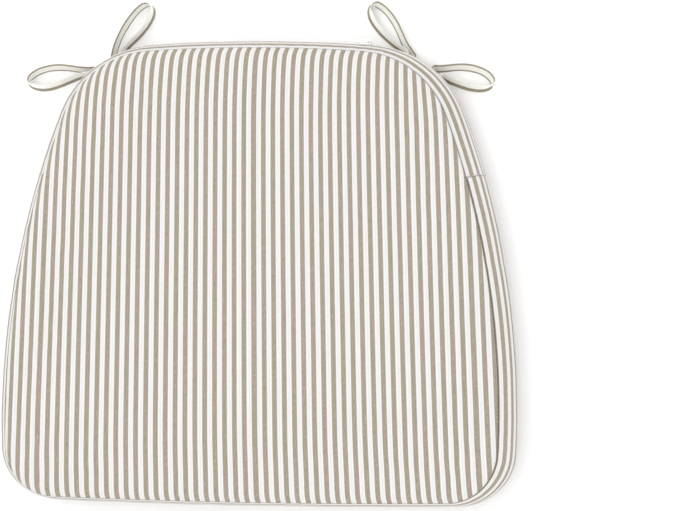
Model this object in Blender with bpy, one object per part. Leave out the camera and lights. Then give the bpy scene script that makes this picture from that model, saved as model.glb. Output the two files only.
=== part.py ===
"""Tie-on chair seat pad: boxed, zipped cover in striped cloth over a foam core.

The pad lies flat on its underside. +Z is up, +Y is the back of the pad, where the ties and
the zip are, and the origin is at the bottom centre of the pad. Lengths are in metres.
"""
import math

import bmesh
import bpy
from mathutils import Vector

MM = 0.001

# Plan of the pad, along the seams: four bowed edges joined by round corners.
FRONT_CORNER = Vector((198.0, -174.8)) * MM     # where the front and side edges would meet
REAR_CORNER = Vector((136.0, 169.2)) * MM       # where the side and rear edges would meet
FRONT_BOW = 3.0 * MM                            # how far each edge bows out of a straight line
SIDE_BOW = 24.0 * MM
REAR_BOW = 7.0 * MM
FRONT_RADIUS = 40.0 * MM
REAR_RADIUS = 78.0 * MM

# Heights.
LOWER_SEAM_Z = 3.0 * MM
UPPER_SEAM_Z = 45.6 * MM
TOP_ROLL = 6.2 * MM                             # rise of the top panel over its rolled edge
TOP_ROLL_WIDTH = 9.0 * MM
TOP_SLOPE = 1.0 * MM                            # further rise up to the crown's start
CROWN_INSET = 34.0 * MM                         # where the outline's rings give way to the crown
CROWN = 2.2 * MM
BOTTOM_ROLL_WIDTH = 8.0 * MM

CLOTH = 1.2 * MM                                # thickness of the cover cloth
GAP = 0.3 * MM                                  # clearance between pieces that touch
SEAM_ALLOWANCE = 8.0 * MM                       # cloth turned in at each seam
SIDE_BULGE = 9.2 * MM                           # how far the band swells out at the sides
REAR_BULGE = 5.8 * MM
FRONT_BULGE = 3.0 * MM
BAND_JOIN_ANGLE = math.radians(17.0)            # edge direction where front and rear bands meet
BAND_JOIN_GAP = 0.0005                          # half the gap there, as an angle in radians
ALLOWANCE_RISE = 0.2 * MM                       # turned-in cloth of the bottom panel, off its face

# Zip, along the middle of the rear band.
ZIP_HALF_WINDOW = 95.0 * MM                     # half the length of the opening
ZIP_HALF_HEIGHT = 4.6 * MM                      # half the height of the opening
ZIP_END_TAPER = 7.0 * MM
ZIP_HALF_TRAVEL = 84.0 * MM
TAPE_THICKNESS = 0.5 * MM
TAPE_HALF_LENGTH = 101.0 * MM
TAPE_DEPTH = 11.0 * MM                          # from the zip's middle line to the tape's far edge
COIL_RADIUS = 0.75 * MM
COIL_OFFSET = 1.4 * MM                          # coil centre from the zip's middle line
COIL_HALF_LENGTH = 90.5 * MM
STOP_LENGTH = 3.0 * MM
STOP_DEPTH = 1.6 * MM
STOP_HEIGHT = 1.8 * MM
SLIDER_LENGTH = 10.0 * MM
SLIDER_HEIGHT = 7.4 * MM
PLATE_THICKNESS = 1.1 * MM
NECK_THICKNESS = 0.7 * MM
PULL_LENGTH = 24.0 * MM
PULL_WIDTH = 5.0 * MM
PULL_THICKNESS = 1.0 * MM
PULL_AXIS_X = 1.8 * MM                          # the pull's bar, from the slider's middle
PULL_EYE = 6.4 * MM                             # length of the pull's eye
PULL_HALF_BAR = 0.6 * MM
BRIDGE_THICKNESS = 0.9 * MM
JOIN_OVERLAP = 0.2 * MM                         # how deep the slider's blocks run into each other

# Ties: loops of folded tape, lying on the surface behind each rear corner.
TIE_WIDTH = 9.0 * MM
TIE_THICKNESS = 0.9 * MM
TIE_CLEARANCE = 0.4 * MM                        # lower edge above the surface
THREAD_RADIUS = 0.4 * MM
TOPSTITCH_MARGIN = 2.2 * MM                     # topstitching from the edge of the opening
TACK_RISE = 4.0 * MM                            # middle of each bar tack above the lower seam
TACK_DEPTH = 0.9 * MM
TACK_HEIGHT = 4.0 * MM
TACK_CLEARANCE = 1.6 * MM                       # middle of its depth out from the band
TACK_ANGLES = {"right": math.radians(59.0), "left": math.radians(117.0)}
TACK_HALF_TURN = math.radians(0.7)              # half a tack's width, as a turn of the outline

# Filling.
FOAM_CLEARANCE = 3.0 * MM                       # foam's edge in from the seams
FOAM_SWELL = 3.5 * MM                           # its bulge at mid height
FIBRE_EDGE = 1.2 * MM                           # bevel of the top layer's edge
FIBRE_BEVEL = 4.0 * MM
FIBRE_DROP = 0.8 * MM                           # top layer below the cover's cloth

BAND_MID_Z = (LOWER_SEAM_Z + UPPER_SEAM_Z) / 2
BAND_THICKNESS = 1.15 * CLOTH
TAPE_CLEARANCE = 1.5 * GAP
TAPE_OUTER_INSET = -REAR_BULGE + BAND_THICKNESS + TAPE_CLEARANCE
COIL_INSET = TAPE_OUTER_INSET - GAP - COIL_RADIUS

WHITE_CLOTH = (0.90, 0.89, 0.87)
BEIGE_CLOTH = (0.45, 0.38, 0.29)
ZIP_WHITE = (0.86, 0.85, 0.82)
THREAD = (0.80, 0.78, 0.74)


# ---------------------------------------------------------------- outline of the pad

def bowed_edge(start, end, bow):
    """Centre and radius of the arc from start to end that bows out to the right by bow."""
    along = end - start
    radius = (along.length_squared / 4 + bow * bow) / (2 * bow)
    outward = Vector((along.y, -along.x)).normalized()
    return (start + end) / 2 - outward * (radius - bow), radius


def round_corner(first, second, radius, corner):
    """Centre of the circle of this radius that touches both edge arcs from inside."""
    (c1, r1), (c2, r2) = first, second
    d1, d2 = r1 - radius, r2 - radius
    between = c2 - c1
    along = (d1 * d1 - d2 * d2 + between.length_squared) / (2 * between.length)
    across = math.sqrt(d1 * d1 - along * along)
    unit = between.normalized()
    side = Vector((-unit.y, unit.x)) * across
    foot = c1 + unit * along
    return min(foot + side, foot - side, key=lambda centre: (centre - corner).length)


def heading(vector):
    return math.atan2(vector.y, vector.x)


def half_outline():
    """Arcs (centre, radius, last edge direction, steps) from the front round to the rear."""
    front_left = Vector((-FRONT_CORNER.x, FRONT_CORNER.y))
    rear_left = Vector((-REAR_CORNER.x, REAR_CORNER.y))
    front = bowed_edge(front_left, FRONT_CORNER, FRONT_BOW)
    side = bowed_edge(FRONT_CORNER, REAR_CORNER, SIDE_BOW)
    rear = bowed_edge(REAR_CORNER, rear_left, REAR_BOW)
    front_corner = round_corner(front, side, FRONT_RADIUS, FRONT_CORNER)
    rear_corner = round_corner(side, rear, REAR_RADIUS, REAR_CORNER)
    return (
        (front[0], front[1], heading(front_corner - front[0]), 2),
        (front_corner, FRONT_RADIUS, heading(front_corner - side[0]), 8),
        (side[0], side[1], heading(rear_corner - side[0]), 7),
        (rear_corner, REAR_RADIUS, heading(rear_corner - rear[0]), 7),
        (rear[0], rear[1], math.pi / 2, 3),
    )


ARCS = half_outline()


def rim(angle, inset=0.0):
    """Point of the outline whose outward direction is angle, moved in by inset."""
    turned = (angle + math.pi / 2) % (2 * math.pi) - math.pi / 2
    mirrored = turned > math.pi / 2
    if mirrored:
        turned = math.pi - turned
    arc = next((a for a in ARCS if turned <= a[2] + 1e-9), ARCS[-1])
    x = arc[0].x + (arc[1] - inset) * math.cos(turned)
    y = arc[0].y + (arc[1] - inset) * math.sin(turned)
    return Vector((-x if mirrored else x, y))


def rim_angles(start=-math.pi / 2, end=1.5 * math.pi):
    """Edge directions that follow the arcs closely, from start to end."""
    half = []
    begin = -math.pi / 2
    for _, _, last, steps in ARCS:
        half += [begin + (last - begin) * i / steps for i in range(steps)]
        begin = last
    full = half + [math.pi / 2] + [math.pi - a for a in reversed(half)]
    turns = [a + 2 * math.pi * k for k in (-1, 0, 1) for a in full[:-1]]
    inner = [a for a in turns if start + 1e-3 < a < end - 1e-3]
    return [start] + inner + ([end] if end - start < 2 * math.pi - 1e-6 else [])


def rear_angle(x):
    """Edge direction at position x on the rear half of the outline."""
    low, high = 0.0, math.pi
    for _ in range(50):
        middle = (low + high) / 2
        low, high = (middle, high) if rim(middle).x > x else (low, middle)
    return (low + high) / 2


# ---------------------------------------------------------------- building blocks

def material(name, colour, roughness=0.85, metallic=0.0):
    made = bpy.data.materials.new(name)
    made.use_nodes = True
    shader = made.node_tree.nodes["Principled BSDF"]
    shader.inputs["Base Color"].default_value = (*colour, 1.0)
    shader.inputs["Roughness"].default_value = roughness
    shader.inputs["Metallic"].default_value = metallic
    return made


def add_object(name, mesh_data, colour, roughness=0.85, metallic=0.0, smooth=True):
    """Put a bmesh into the scene as a named object with its own material."""
    bmesh.ops.recalc_face_normals(mesh_data, faces=mesh_data.faces)
    mesh = bpy.data.meshes.new(name)
    mesh_data.to_mesh(mesh)
    mesh_data.free()
    if smooth:
        mesh.shade_smooth()
        mesh.set_sharp_from_angle(angle=math.radians(40))
    obj = bpy.data.objects.new(name, mesh)
    bpy.context.scene.collection.objects.link(obj)
    mesh.materials.append(material(name, colour, roughness, metallic))
    return obj


def bridge(mesh_data, first, second, closed=True):
    """Faces between two rows of vertices."""
    count = len(first)
    for i in range(count if closed else count - 1):
        j = (i + 1) % count
        mesh_data.faces.new((first[i], first[j], second[j], second[i]))


def sweep(sections, closed_path):
    """Closed body from a list of equal closed sections of 3-D points."""
    body = bmesh.new()
    rows = [[body.verts.new(point) for point in section] for section in sections]
    for a, b in zip(rows, rows[1:] + rows[:1] if closed_path else rows[1:]):
        bridge(body, a, b)
    if not closed_path:
        body.faces.new(rows[0])
        body.faces.new(reversed(rows[-1]))
        bmesh.ops.triangulate(body, faces=[f for f in body.faces if len(f.verts) > 4])
    return body


def lathe_to_outline(profile, crowns=()):
    """Closed body from rings at (inset, z), each side closed by rings that shrink to a centre.

    crowns holds, for the first and the last ring, the (scale, z) rings towards the centre.
    """
    body = bmesh.new()
    angles = rim_angles()
    rings = []
    for inset, z in profile:
        rings.append([body.verts.new((*rim(a, inset), z)) for a in angles])
    for a, b in zip(rings, rings[1:]):
        bridge(body, a, b)
    for end, steps in zip((0, -1), crowns):
        ring = rings[end]
        middle = sum((v.co for v in ring), Vector()) / len(ring)
        for scale, z in steps[:-1]:
            inner = []
            for v in rings[end]:
                inner.append(body.verts.new((middle.x + (v.co.x - middle.x) * scale,
                                             middle.y + (v.co.y - middle.y) * scale, z)))
            bridge(body, ring, inner)
            ring = inner
        centre = body.verts.new((middle.x, middle.y, steps[-1][1]))
        for i, v in enumerate(ring):
            body.faces.new((v, ring[(i + 1) % len(ring)], centre))
    return body


def quarter_roll(start_inset, start_z, width, rise, steps):
    """Points of a quarter ellipse that leaves the seam upright and ends level."""
    points = []
    for i in range(steps + 1):
        turn = math.pi / 2 * i / steps
        points.append((start_inset + width * (1 - math.cos(turn)), start_z + rise * math.sin(turn)))
    return points


def crown_steps(edge_z, rise):
    """Rings of a shallow crown from edge_z up to edge_z + rise at the centre."""
    return [(scale, edge_z + rise * (1 - scale * scale)) for scale in (0.75, 0.5, 0.25, 0.0)]


def bulge_at(angle):
    """How far the band swells out where the outline faces this way."""
    end = REAR_BULGE if math.sin(angle) > 0 else FRONT_BULGE
    return SIDE_BULGE * math.cos(angle) ** 2 + end * math.sin(angle) ** 2


def band_offset(z, angle):
    """How far the band stands out of the seam line at height z."""
    bulge = bulge_at(angle)
    half = (UPPER_SEAM_Z - LOWER_SEAM_Z) / 2
    radius = (half * half + bulge * bulge) / (2 * bulge)
    rise = z - BAND_MID_Z
    return math.sqrt(radius * radius - rise * rise) - (radius - bulge)


# ---------------------------------------------------------------- cover panels

def top_panel():
    outer = quarter_roll(0.0, UPPER_SEAM_Z, TOP_ROLL_WIDTH, TOP_ROLL, 5)
    rim_z = UPPER_SEAM_Z + TOP_ROLL
    outer.append((CROWN_INSET, rim_z + TOP_SLOPE))
    inner = quarter_roll(CLOTH, UPPER_SEAM_Z + CLOTH, TOP_ROLL_WIDTH - CLOTH, TOP_ROLL - 2 * CLOTH, 4)
    inner.append((CROWN_INSET, rim_z + TOP_SLOPE - CLOTH))
    allowance = [(SEAM_ALLOWANCE, UPPER_SEAM_Z + CLOTH), (SEAM_ALLOWANCE, UPPER_SEAM_Z)]
    profile = outer[::-1] + allowance[::-1] + inner
    crowns = (crown_steps(rim_z + TOP_SLOPE, CROWN), crown_steps(rim_z + TOP_SLOPE - CLOTH, CROWN))
    add_object("top_panel", lathe_to_outline(profile, crowns), BEIGE_CLOTH)


def bottom_panel():
    outer = [(i, 2 * LOWER_SEAM_Z - z)
             for i, z in quarter_roll(0.0, LOWER_SEAM_Z, BOTTOM_ROLL_WIDTH, LOWER_SEAM_Z, 4)]
    allowance_top = LOWER_SEAM_Z - CLOTH
    allowance = [(SEAM_ALLOWANCE, LOWER_SEAM_Z), (SEAM_ALLOWANCE, allowance_top + ALLOWANCE_RISE)]
    inner = [(CLOTH * 2, allowance_top), (SEAM_ALLOWANCE, CLOTH)]
    profile = outer[::-1] + allowance + inner
    crowns = ([(0.0, 0.0)], [(0.0, CLOTH)])
    add_object("bottom_panel", lathe_to_outline(profile, crowns), BEIGE_CLOTH)


def band_section(angle, low, high, turned_low, turned_high):
    """Section (inset, z) of the band between two heights, with turned-in seam edges."""
    steps = 6
    heights = [low + (high - low) * i / steps for i in range(steps + 1)]
    outer = [(-band_offset(z, angle), z) for z in heights]
    if turned_high:
        outer += [(SEAM_ALLOWANCE, high), (SEAM_ALLOWANCE, high - CLOTH)]
    inner_low = low + (CLOTH if turned_low else 0.0)
    inner_high = high - (CLOTH if turned_high else 0.0)
    inner_heights = [inner_high + (inner_low - inner_high) * i / steps for i in range(steps + 1)]
    inner = [(BAND_THICKNESS - band_offset(z, angle), z) for z in inner_heights]
    if turned_low:
        inner += [(SEAM_ALLOWANCE, low + CLOTH), (SEAM_ALLOWANCE, low)]
    return outer + inner


def sweep_band(name, angles, section_at):
    sections = []
    for angle in angles:
        sections.append([(*rim(angle, inset), z) for inset, z in section_at(angle)])
    add_object(name, sweep(sections, closed_path=False), WHITE_CLOTH)


def side_bands():
    low, high = LOWER_SEAM_Z + GAP, UPPER_SEAM_Z - GAP
    half_gap = GAP / 2

    def zip_edge(angle):
        """Half height of the opening in the rear band at this place."""
        past = (ZIP_HALF_WINDOW + ZIP_END_TAPER - abs(rim(angle).x)) / ZIP_END_TAPER
        return half_gap + (ZIP_HALF_HEIGHT - half_gap) * min(max(past, 0.0), 1.0)

    start = math.pi - BAND_JOIN_ANGLE + BAND_JOIN_GAP
    end = 2 * math.pi + BAND_JOIN_ANGLE - BAND_JOIN_GAP
    sweep_band("front_band", rim_angles(start, end),
               lambda a: band_section(a, low, high, True, True))

    rear = rim_angles(BAND_JOIN_ANGLE, math.pi - BAND_JOIN_ANGLE)
    window_ends = [rear_angle(side * (ZIP_HALF_WINDOW + extra))
                   for side in (-1, 1) for extra in (0.0, ZIP_END_TAPER)]
    rear = sorted(rear + window_ends)
    sweep_band("rear_band_upper", rear,
               lambda a: band_section(a, BAND_MID_Z + zip_edge(a), high, False, True))
    sweep_band("rear_band_lower", rear,
               lambda a: band_section(a, low, BAND_MID_Z - zip_edge(a), True, False))


# ---------------------------------------------------------------- filling

def foam_and_fibre():
    clear = CLOTH + GAP
    low = LOWER_SEAM_Z + CLOTH + 2 * GAP
    high = UPPER_SEAM_Z - CLOTH - 2 * GAP
    side = []
    steps = 6
    for i in range(steps + 1):
        z = low + (high - low) * i / steps
        side.append((FOAM_CLEARANCE - FOAM_SWELL * math.sin(math.pi * i / steps), z))
    body = lathe_to_outline(side, ([(0.0, low)], [(0.0, high)]))
    add_object("foam_core", body, (0.87, 0.83, 0.70), roughness=0.9)

    inset = SEAM_ALLOWANCE + 2 * GAP
    top_edge = UPPER_SEAM_Z + TOP_ROLL - CLOTH - FIBRE_DROP
    top = [(inset, high + GAP), (inset, top_edge - FIBRE_EDGE), (inset + FIBRE_BEVEL, top_edge),
           (CROWN_INSET, top_edge + TOP_SLOPE)]
    crown = crown_steps(top_edge + TOP_SLOPE, CROWN)
    body = lathe_to_outline(top, ([(0.0, high + GAP)], crown))
    add_object("fibre_wrap_top", body, (0.95, 0.95, 0.94), roughness=1.0)

    bottom = [(inset, clear), (inset, low - GAP)]
    body = lathe_to_outline(bottom, ([(0.0, clear)], [(0.0, low - GAP)]))
    add_object("fibre_wrap_bottom", body, (0.95, 0.95, 0.94), roughness=1.0)


# ---------------------------------------------------------------- zip

def rear_stretch(half_length, count):
    """Edge directions evenly spread along the rear edge, from +X to -X."""
    return [rear_angle(half_length * (1 - 2 * i / (count - 1))) for i in range(count)]


def ribbon_along_rear(name, half_length, section, colour, roughness, metallic=0.0, count=31):
    """A strip of constant section (inset, z) along the rear edge."""
    sections = []
    for angle in rear_stretch(half_length, count):
        sections.append([(*rim(angle, inset), z) for inset, z in section])
    add_object(name, sweep(sections, closed_path=False), colour, roughness, metallic)


def rod_section(inset, z, radius, sides=8):
    ring = []
    for i in range(sides):
        turn = 2 * math.pi * i / sides
        ring.append((inset + radius * math.cos(turn), z + radius * math.sin(turn)))
    return ring


def box_section(inset, z, depth, height):
    return [(inset - depth / 2, z - height / 2), (inset + depth / 2, z - height / 2),
            (inset + depth / 2, z + height / 2), (inset - depth / 2, z + height / 2)]


def tape_section(side):
    """Section of a zip tape that follows the inside of the band from the coil outwards."""
    near = COIL_OFFSET - COIL_RADIUS
    steps = 4
    outer = []
    for i in range(steps + 1):
        z = BAND_MID_Z + side * (near + (TAPE_DEPTH - near) * i / steps)
        outer.append((BAND_THICKNESS + TAPE_CLEARANCE - band_offset(z, math.pi / 2), z))
    return outer + [(inset + TAPE_THICKNESS, z) for inset, z in reversed(outer)]


def zip_chain():
    for side, label in ((1, "upper"), (-1, "lower")):
        ribbon_along_rear("zip_tape_" + label, TAPE_HALF_LENGTH, tape_section(side), ZIP_WHITE, 0.8)
        rod = rod_section(COIL_INSET, BAND_MID_Z + side * COIL_OFFSET, COIL_RADIUS)
        ribbon_along_rear("zip_coil_" + label, COIL_HALF_LENGTH, rod, ZIP_WHITE, 0.4)
        stop = box_section(COIL_INSET, BAND_MID_Z + side * COIL_OFFSET, STOP_DEPTH, STOP_HEIGHT)
        block_on_rear("zip_top_stop_" + label, COIL_HALF_LENGTH + GAP, STOP_LENGTH, stop)
    joined = box_section(COIL_INSET, BAND_MID_Z, STOP_DEPTH, 2 * (COIL_OFFSET + COIL_RADIUS))
    block_on_rear("zip_bottom_stop", -COIL_HALF_LENGTH - GAP - STOP_LENGTH, STOP_LENGTH, joined)


def block_on_rear(name, start_x, length, section):
    sections = []
    for x in (start_x, start_x + length):
        sections.append([(*rim(rear_angle(x), inset), z) for inset, z in section])
    add_object(name, sweep(sections, closed_path=False), (0.75, 0.74, 0.72), 0.35, 0.9, smooth=False)


def box_mesh(low, high):
    """Axis-aligned box between two corners."""
    body = bmesh.new()
    bmesh.ops.create_cube(body, size=1.0)
    for v in body.verts:
        v.co = Vector([low[k] if v.co[k] < 0 else high[k] for k in range(3)])
    return body


def boxes_joined(boxes):
    """One closed body from boxes (low corner, high corner), by union."""
    blocks = []
    for low, high in boxes:
        mesh = bpy.data.meshes.new("block")
        body = box_mesh(low, high)
        body.to_mesh(mesh)
        body.free()
        block = bpy.data.objects.new("block", mesh)
        bpy.context.scene.collection.objects.link(block)
        blocks.append(block)
    base = blocks[0]
    for other in blocks[1:]:
        union = base.modifiers.new("union", "BOOLEAN")
        union.operation = "UNION"
        union.solver = "EXACT"
        union.object = other
    evaluated = base.evaluated_get(bpy.context.evaluated_depsgraph_get())
    joined = bmesh.new()
    joined.from_mesh(evaluated.to_mesh())
    evaluated.to_mesh_clear()
    for block in blocks:
        bpy.data.objects.remove(block, do_unlink=True)
    return joined


def zip_slider():
    """Slider at the closed end: two plates, a neck between the coils, a bridge for the pull.

    In the slider's own frame X runs along the zip, Y points out of the pad and Z is up.
    The neck is at the +X end, where the coils part.
    """
    seat = rear_angle(ZIP_HALF_TRAVEL)
    chain = rim(seat, COIL_INSET)
    place = Vector((chain.x, chain.y, BAND_MID_Z))
    turn = seat - math.pi / 2
    half_length, half_height = SLIDER_LENGTH / 2, SLIDER_HEIGHT / 2
    outer = COIL_RADIUS + GAP
    inner = -(COIL_RADIUS + GAP + TAPE_THICKNESS + GAP)
    face = outer + PLATE_THICKNESS
    neck = NECK_THICKNESS / 2
    post = 1.0 * MM
    bridge_low = face + PULL_THICKNESS + 3 * GAP
    boxes = [
        ((-half_length, outer, -half_height), (half_length, face, half_height)),
        ((-half_length, inner - PLATE_THICKNESS, -half_height), (half_length, inner, half_height)),
        ((post, inner - JOIN_OVERLAP, -neck), (half_length - post, outer + JOIN_OVERLAP, neck)),
        ((-half_length + post, face - JOIN_OVERLAP, -post), (-half_length + 2 * post, bridge_low, post)),
        ((half_length - 2 * post, face - JOIN_OVERLAP, -post), (half_length - post, bridge_low, post)),
        ((-half_length + post, bridge_low - JOIN_OVERLAP, -post),
         (half_length - post, bridge_low + BRIDGE_THICKNESS, post)),
    ]
    slider = add_object("zip_slider", boxes_joined(boxes), (0.78, 0.77, 0.75), 0.3, 0.9, smooth=False)
    arc_centre = bpy.data.objects.new("zip_path_centre", None)
    bpy.context.scene.collection.objects.link(arc_centre)
    arc_centre.location = (*ARCS[-1][0], BAND_MID_Z)
    slider.parent = arc_centre
    slider.location = place - arc_centre.location
    slider.rotation_euler = (0.0, 0.0, turn)

    # The pull is a flat tab whose eye runs round the bridge. It turns about an upright axis.
    tab_middle = face + GAP + PULL_THICKNESS / 2
    pull = pull_tab(post)
    pull.parent = slider
    pull.location = (PULL_AXIS_X, tab_middle, 0.0)


def pull_tab(post):
    """Tab that lies along the zip towards -X; its origin is the middle of its captive bar."""
    half_width, half_thickness = PULL_WIDTH / 2, PULL_THICKNESS / 2
    pull = add_object("zip_pull", box_mesh((-PULL_LENGTH, -half_thickness, -half_width),
                                           (PULL_HALF_BAR, half_thickness, half_width)),
                      (0.78, 0.77, 0.75), 0.3, 0.9, smooth=False)
    reach = post + 2 * GAP
    mesh = bpy.data.meshes.new("eye_cutter")
    body = box_mesh((-PULL_HALF_BAR - PULL_EYE, -3 * half_thickness, -reach),
                    (-PULL_HALF_BAR, 3 * half_thickness, reach))
    body.to_mesh(mesh)
    body.free()
    cutter = bpy.data.objects.new("eye_cutter", mesh)
    bpy.context.scene.collection.objects.link(cutter)
    cutter.parent = pull
    cutter.hide_render = True
    cutter.display_type = "WIRE"
    cut = pull.modifiers.new("eye", "BOOLEAN")
    cut.operation = "DIFFERENCE"
    cut.solver = "EXACT"
    cut.object = cutter
    return pull


# ---------------------------------------------------------------- ties

# Routes of each tape's middle line in plan, millimetres, from one end in the lower seam round
# the loop to the other end. The inner ties point back and inwards, the outer ones sideways.
TIE_ROUTES = {
    "tie_right_inner": [
        (117.2, 170.6), (113.8, 175.6), (109.8, 181.2), (106.3, 188.4), (103.0, 195.0), (99.0, 201.2),
        (94.8, 206.2), (90.2, 210.0), (86.2, 211.8), (83.2, 211.0), (81.4, 208.2), (81.4, 204.3),
        (83.0, 199.8), (86.2, 195.0), (90.2, 190.4), (94.9, 186.0), (100.0, 181.8), (105.6, 177.8),
        (111.0, 173.8)],
    "tie_right_outer": [
        (133.2, 161.6), (137.4, 161.6), (142.6, 161.8), (148.7, 162.5), (154.8, 162.9), (161.0, 162.6),
        (167.2, 161.5), (173.2, 159.4), (177.8, 156.6), (180.8, 153.4), (181.6, 150.6), (180.0, 148.2),
        (176.4, 146.7), (172.0, 146.1), (167.2, 146.4), (161.8, 147.4), (156.0, 149.2), (149.5, 151.5),
        (144.6, 153.6), (139.6, 155.8)],
    "tie_left_inner": [
        (-129.6, 162.0), (-129.6, 168.0), (-128.3, 174.8), (-126.2, 181.4), (-123.4, 187.7),
        (-120.2, 193.6), (-116.6, 199.0), (-112.8, 203.9), (-108.7, 208.1), (-104.9, 210.9),
        (-101.5, 212.0), (-98.8, 211.0), (-97.2, 208.4), (-97.3, 204.8), (-98.8, 200.5),
        (-101.4, 195.9), (-105.0, 191.2), (-109.2, 186.8), (-113.9, 182.4), (-118.8, 177.6),
        (-122.6, 172.2), (-124.9, 165.6)],
    "tie_left_outer": [
        (-134.0, 158.6), (-139.5, 159.9), (-145.3, 160.2), (-151.4, 160.1), (-157.8, 160.6),
        (-165.0, 161.6), (-172.0, 162.2), (-178.5, 162.0), (-184.7, 161.0), (-190.4, 159.2),
        (-195.2, 156.7), (-198.6, 153.6), (-199.7, 150.8), (-198.1, 148.4), (-194.5, 146.7),
        (-189.5, 145.9), (-183.8, 146.1), (-178.0, 147.4), (-171.8, 149.5), (-165.0, 152.3),
        (-158.0, 154.8), (-151.0, 156.4), (-144.5, 156.4), (-138.6, 155.0)],
}
# Direction across each tape, from its lower edge to its upper one.
TIE_LEAN = {
    "tie_right_inner": Vector((5.9, 3.0, 6.1)),
    "tie_right_outer": Vector((4.8, 4.7, 6.0)),
    "tie_left_inner": Vector((-1.4, 2.7, 8.5)),
    "tie_left_outer": Vector((1.2, 4.8, 7.5)),
}


def smooth_route(points, per_span):
    """Points of a Catmull-Rom curve through the given plan points."""
    padded = [points[0] * 2 - points[1]] + points + [points[-1] * 2 - points[-2]]
    route = []
    for a, b, c, d in zip(padded, padded[1:], padded[2:], padded[3:]):
        for i in range(per_span):
            t = i / per_span
            route.append((b * 2 + (c - a) * t + (a * 2 - b * 5 + c * 4 - d) * t * t
                          + (b * 3 - a - c * 3 + d) * t ** 3) / 2)
    return route + [points[-1]]


def tie(name, points, lean):
    """Flat tape that stands on its lower edge along its route, leaning over at the top."""
    route = smooth_route([Vector((x, y, 0.0)) * MM for x, y in points], 2)
    sections = []
    for i, point in enumerate(route):
        ahead = (route[min(i + 1, len(route) - 1)] - route[max(i - 1, 0)]).normalized()
        across = (lean - ahead * lean.dot(ahead)).normalized() * TIE_WIDTH / 2
        face = ahead.cross(across).normalized() * TIE_THICKNESS / 2
        middle = point + Vector((0.0, 0.0, TIE_CLEARANCE + across.z + abs(face.z)))
        sections.append([middle - across - face, middle - across + face,
                         middle + across + face, middle + across - face])
    add_object(name, sweep(sections, closed_path=False), WHITE_CLOTH)


# ---------------------------------------------------------------- sewing thread

def seam_threads():
    """Thread in the crease of each long seam, all the way round."""
    out = -THREAD_RADIUS - 1.1 * GAP
    for name, z in (("upper_seam_thread", UPPER_SEAM_Z + GAP), ("lower_seam_thread", LOWER_SEAM_Z - GAP)):
        section = rod_section(out, z, THREAD_RADIUS, sides=6)
        sections = [[(*rim(angle, inset), z) for inset, z in section] for angle in rim_angles()]
        add_object(name, sweep(sections, closed_path=True), THREAD)


def band_join_threads():
    """Thread down each upright seam where the front and rear bands meet."""
    low, high = LOWER_SEAM_Z + 2.0 * MM, UPPER_SEAM_Z - 2.0 * MM
    steps = 8
    clear = THREAD_RADIUS + GAP
    for label, angle in (("right", BAND_JOIN_ANGLE), ("left", math.pi - BAND_JOIN_ANGLE)):
        out = Vector((math.cos(angle), math.sin(angle), 0.0))
        along = Vector((-out.y, out.x, 0.0))
        path = []
        for i in range(steps + 1):
            z = low + (high - low) * i / steps
            path.append(Vector((*rim(angle, -band_offset(z, angle) - clear), z)))
        sections = []
        for i, point in enumerate(path):
            ahead = (path[min(i + 1, steps)] - path[max(i - 1, 0)]).normalized()
            normal = along.cross(ahead)
            ring = [2 * math.pi * k / 6 for k in range(6)]
            sections.append([point + (along * math.cos(t) + normal * math.sin(t)) * THREAD_RADIUS
                             for t in ring])
        add_object("band_join_thread_" + label, sweep(sections, closed_path=False), THREAD)


def zip_topstitch():
    """Thread along both folded edges of the zip opening."""
    for side, label in ((1, "upper"), (-1, "lower")):
        z = BAND_MID_Z + side * (ZIP_HALF_HEIGHT + TOPSTITCH_MARGIN)
        inset = -band_offset(z, math.pi / 2) - THREAD_RADIUS - GAP
        section = rod_section(inset, z, THREAD_RADIUS, sides=6)
        ribbon_along_rear("zip_topstitch_" + label, ZIP_HALF_WINDOW, section, THREAD, 0.7)


def tie_tacks():
    """Short bar tack over the lower seam between the two ties of each rear corner."""
    z = LOWER_SEAM_Z + TACK_RISE
    for label, angle in TACK_ANGLES.items():
        out = -band_offset(z, angle) - TACK_CLEARANCE
        section = box_section(out, z, TACK_DEPTH, TACK_HEIGHT)
        sections = []
        for turn in (-TACK_HALF_TURN, TACK_HALF_TURN):
            sections.append([(*rim(angle + turn, inset), z) for inset, z in section])
        add_object("tie_tack_" + label, sweep(sections, closed_path=False), THREAD, smooth=False)


def main():
    for old in list(bpy.data.objects):
        bpy.data.objects.remove(old, do_unlink=True)
    top_panel()
    bottom_panel()
    side_bands()
    foam_and_fibre()
    zip_chain()
    zip_slider()
    for name, points in TIE_ROUTES.items():
        tie(name, points, TIE_LEAN[name])
    seam_threads()
    band_join_threads()
    zip_topstitch()
    tie_tacks()


main()
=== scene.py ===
"""Looks of the tie-on chair seat pad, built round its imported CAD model.

Lengths are in metres. The frame is the CAD model's own: +Z is up, +Y is the back of the pad.
Cloth coordinates (attribute "cloth") are in millimetres: across the stripes, then along them.
"""
import math

import bmesh
import bpy
import numpy as np
from mathutils import Matrix, Vector
from mathutils.geometry import delaunay_2d_cdt
from mathutils.kdtree import KDTree


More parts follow.
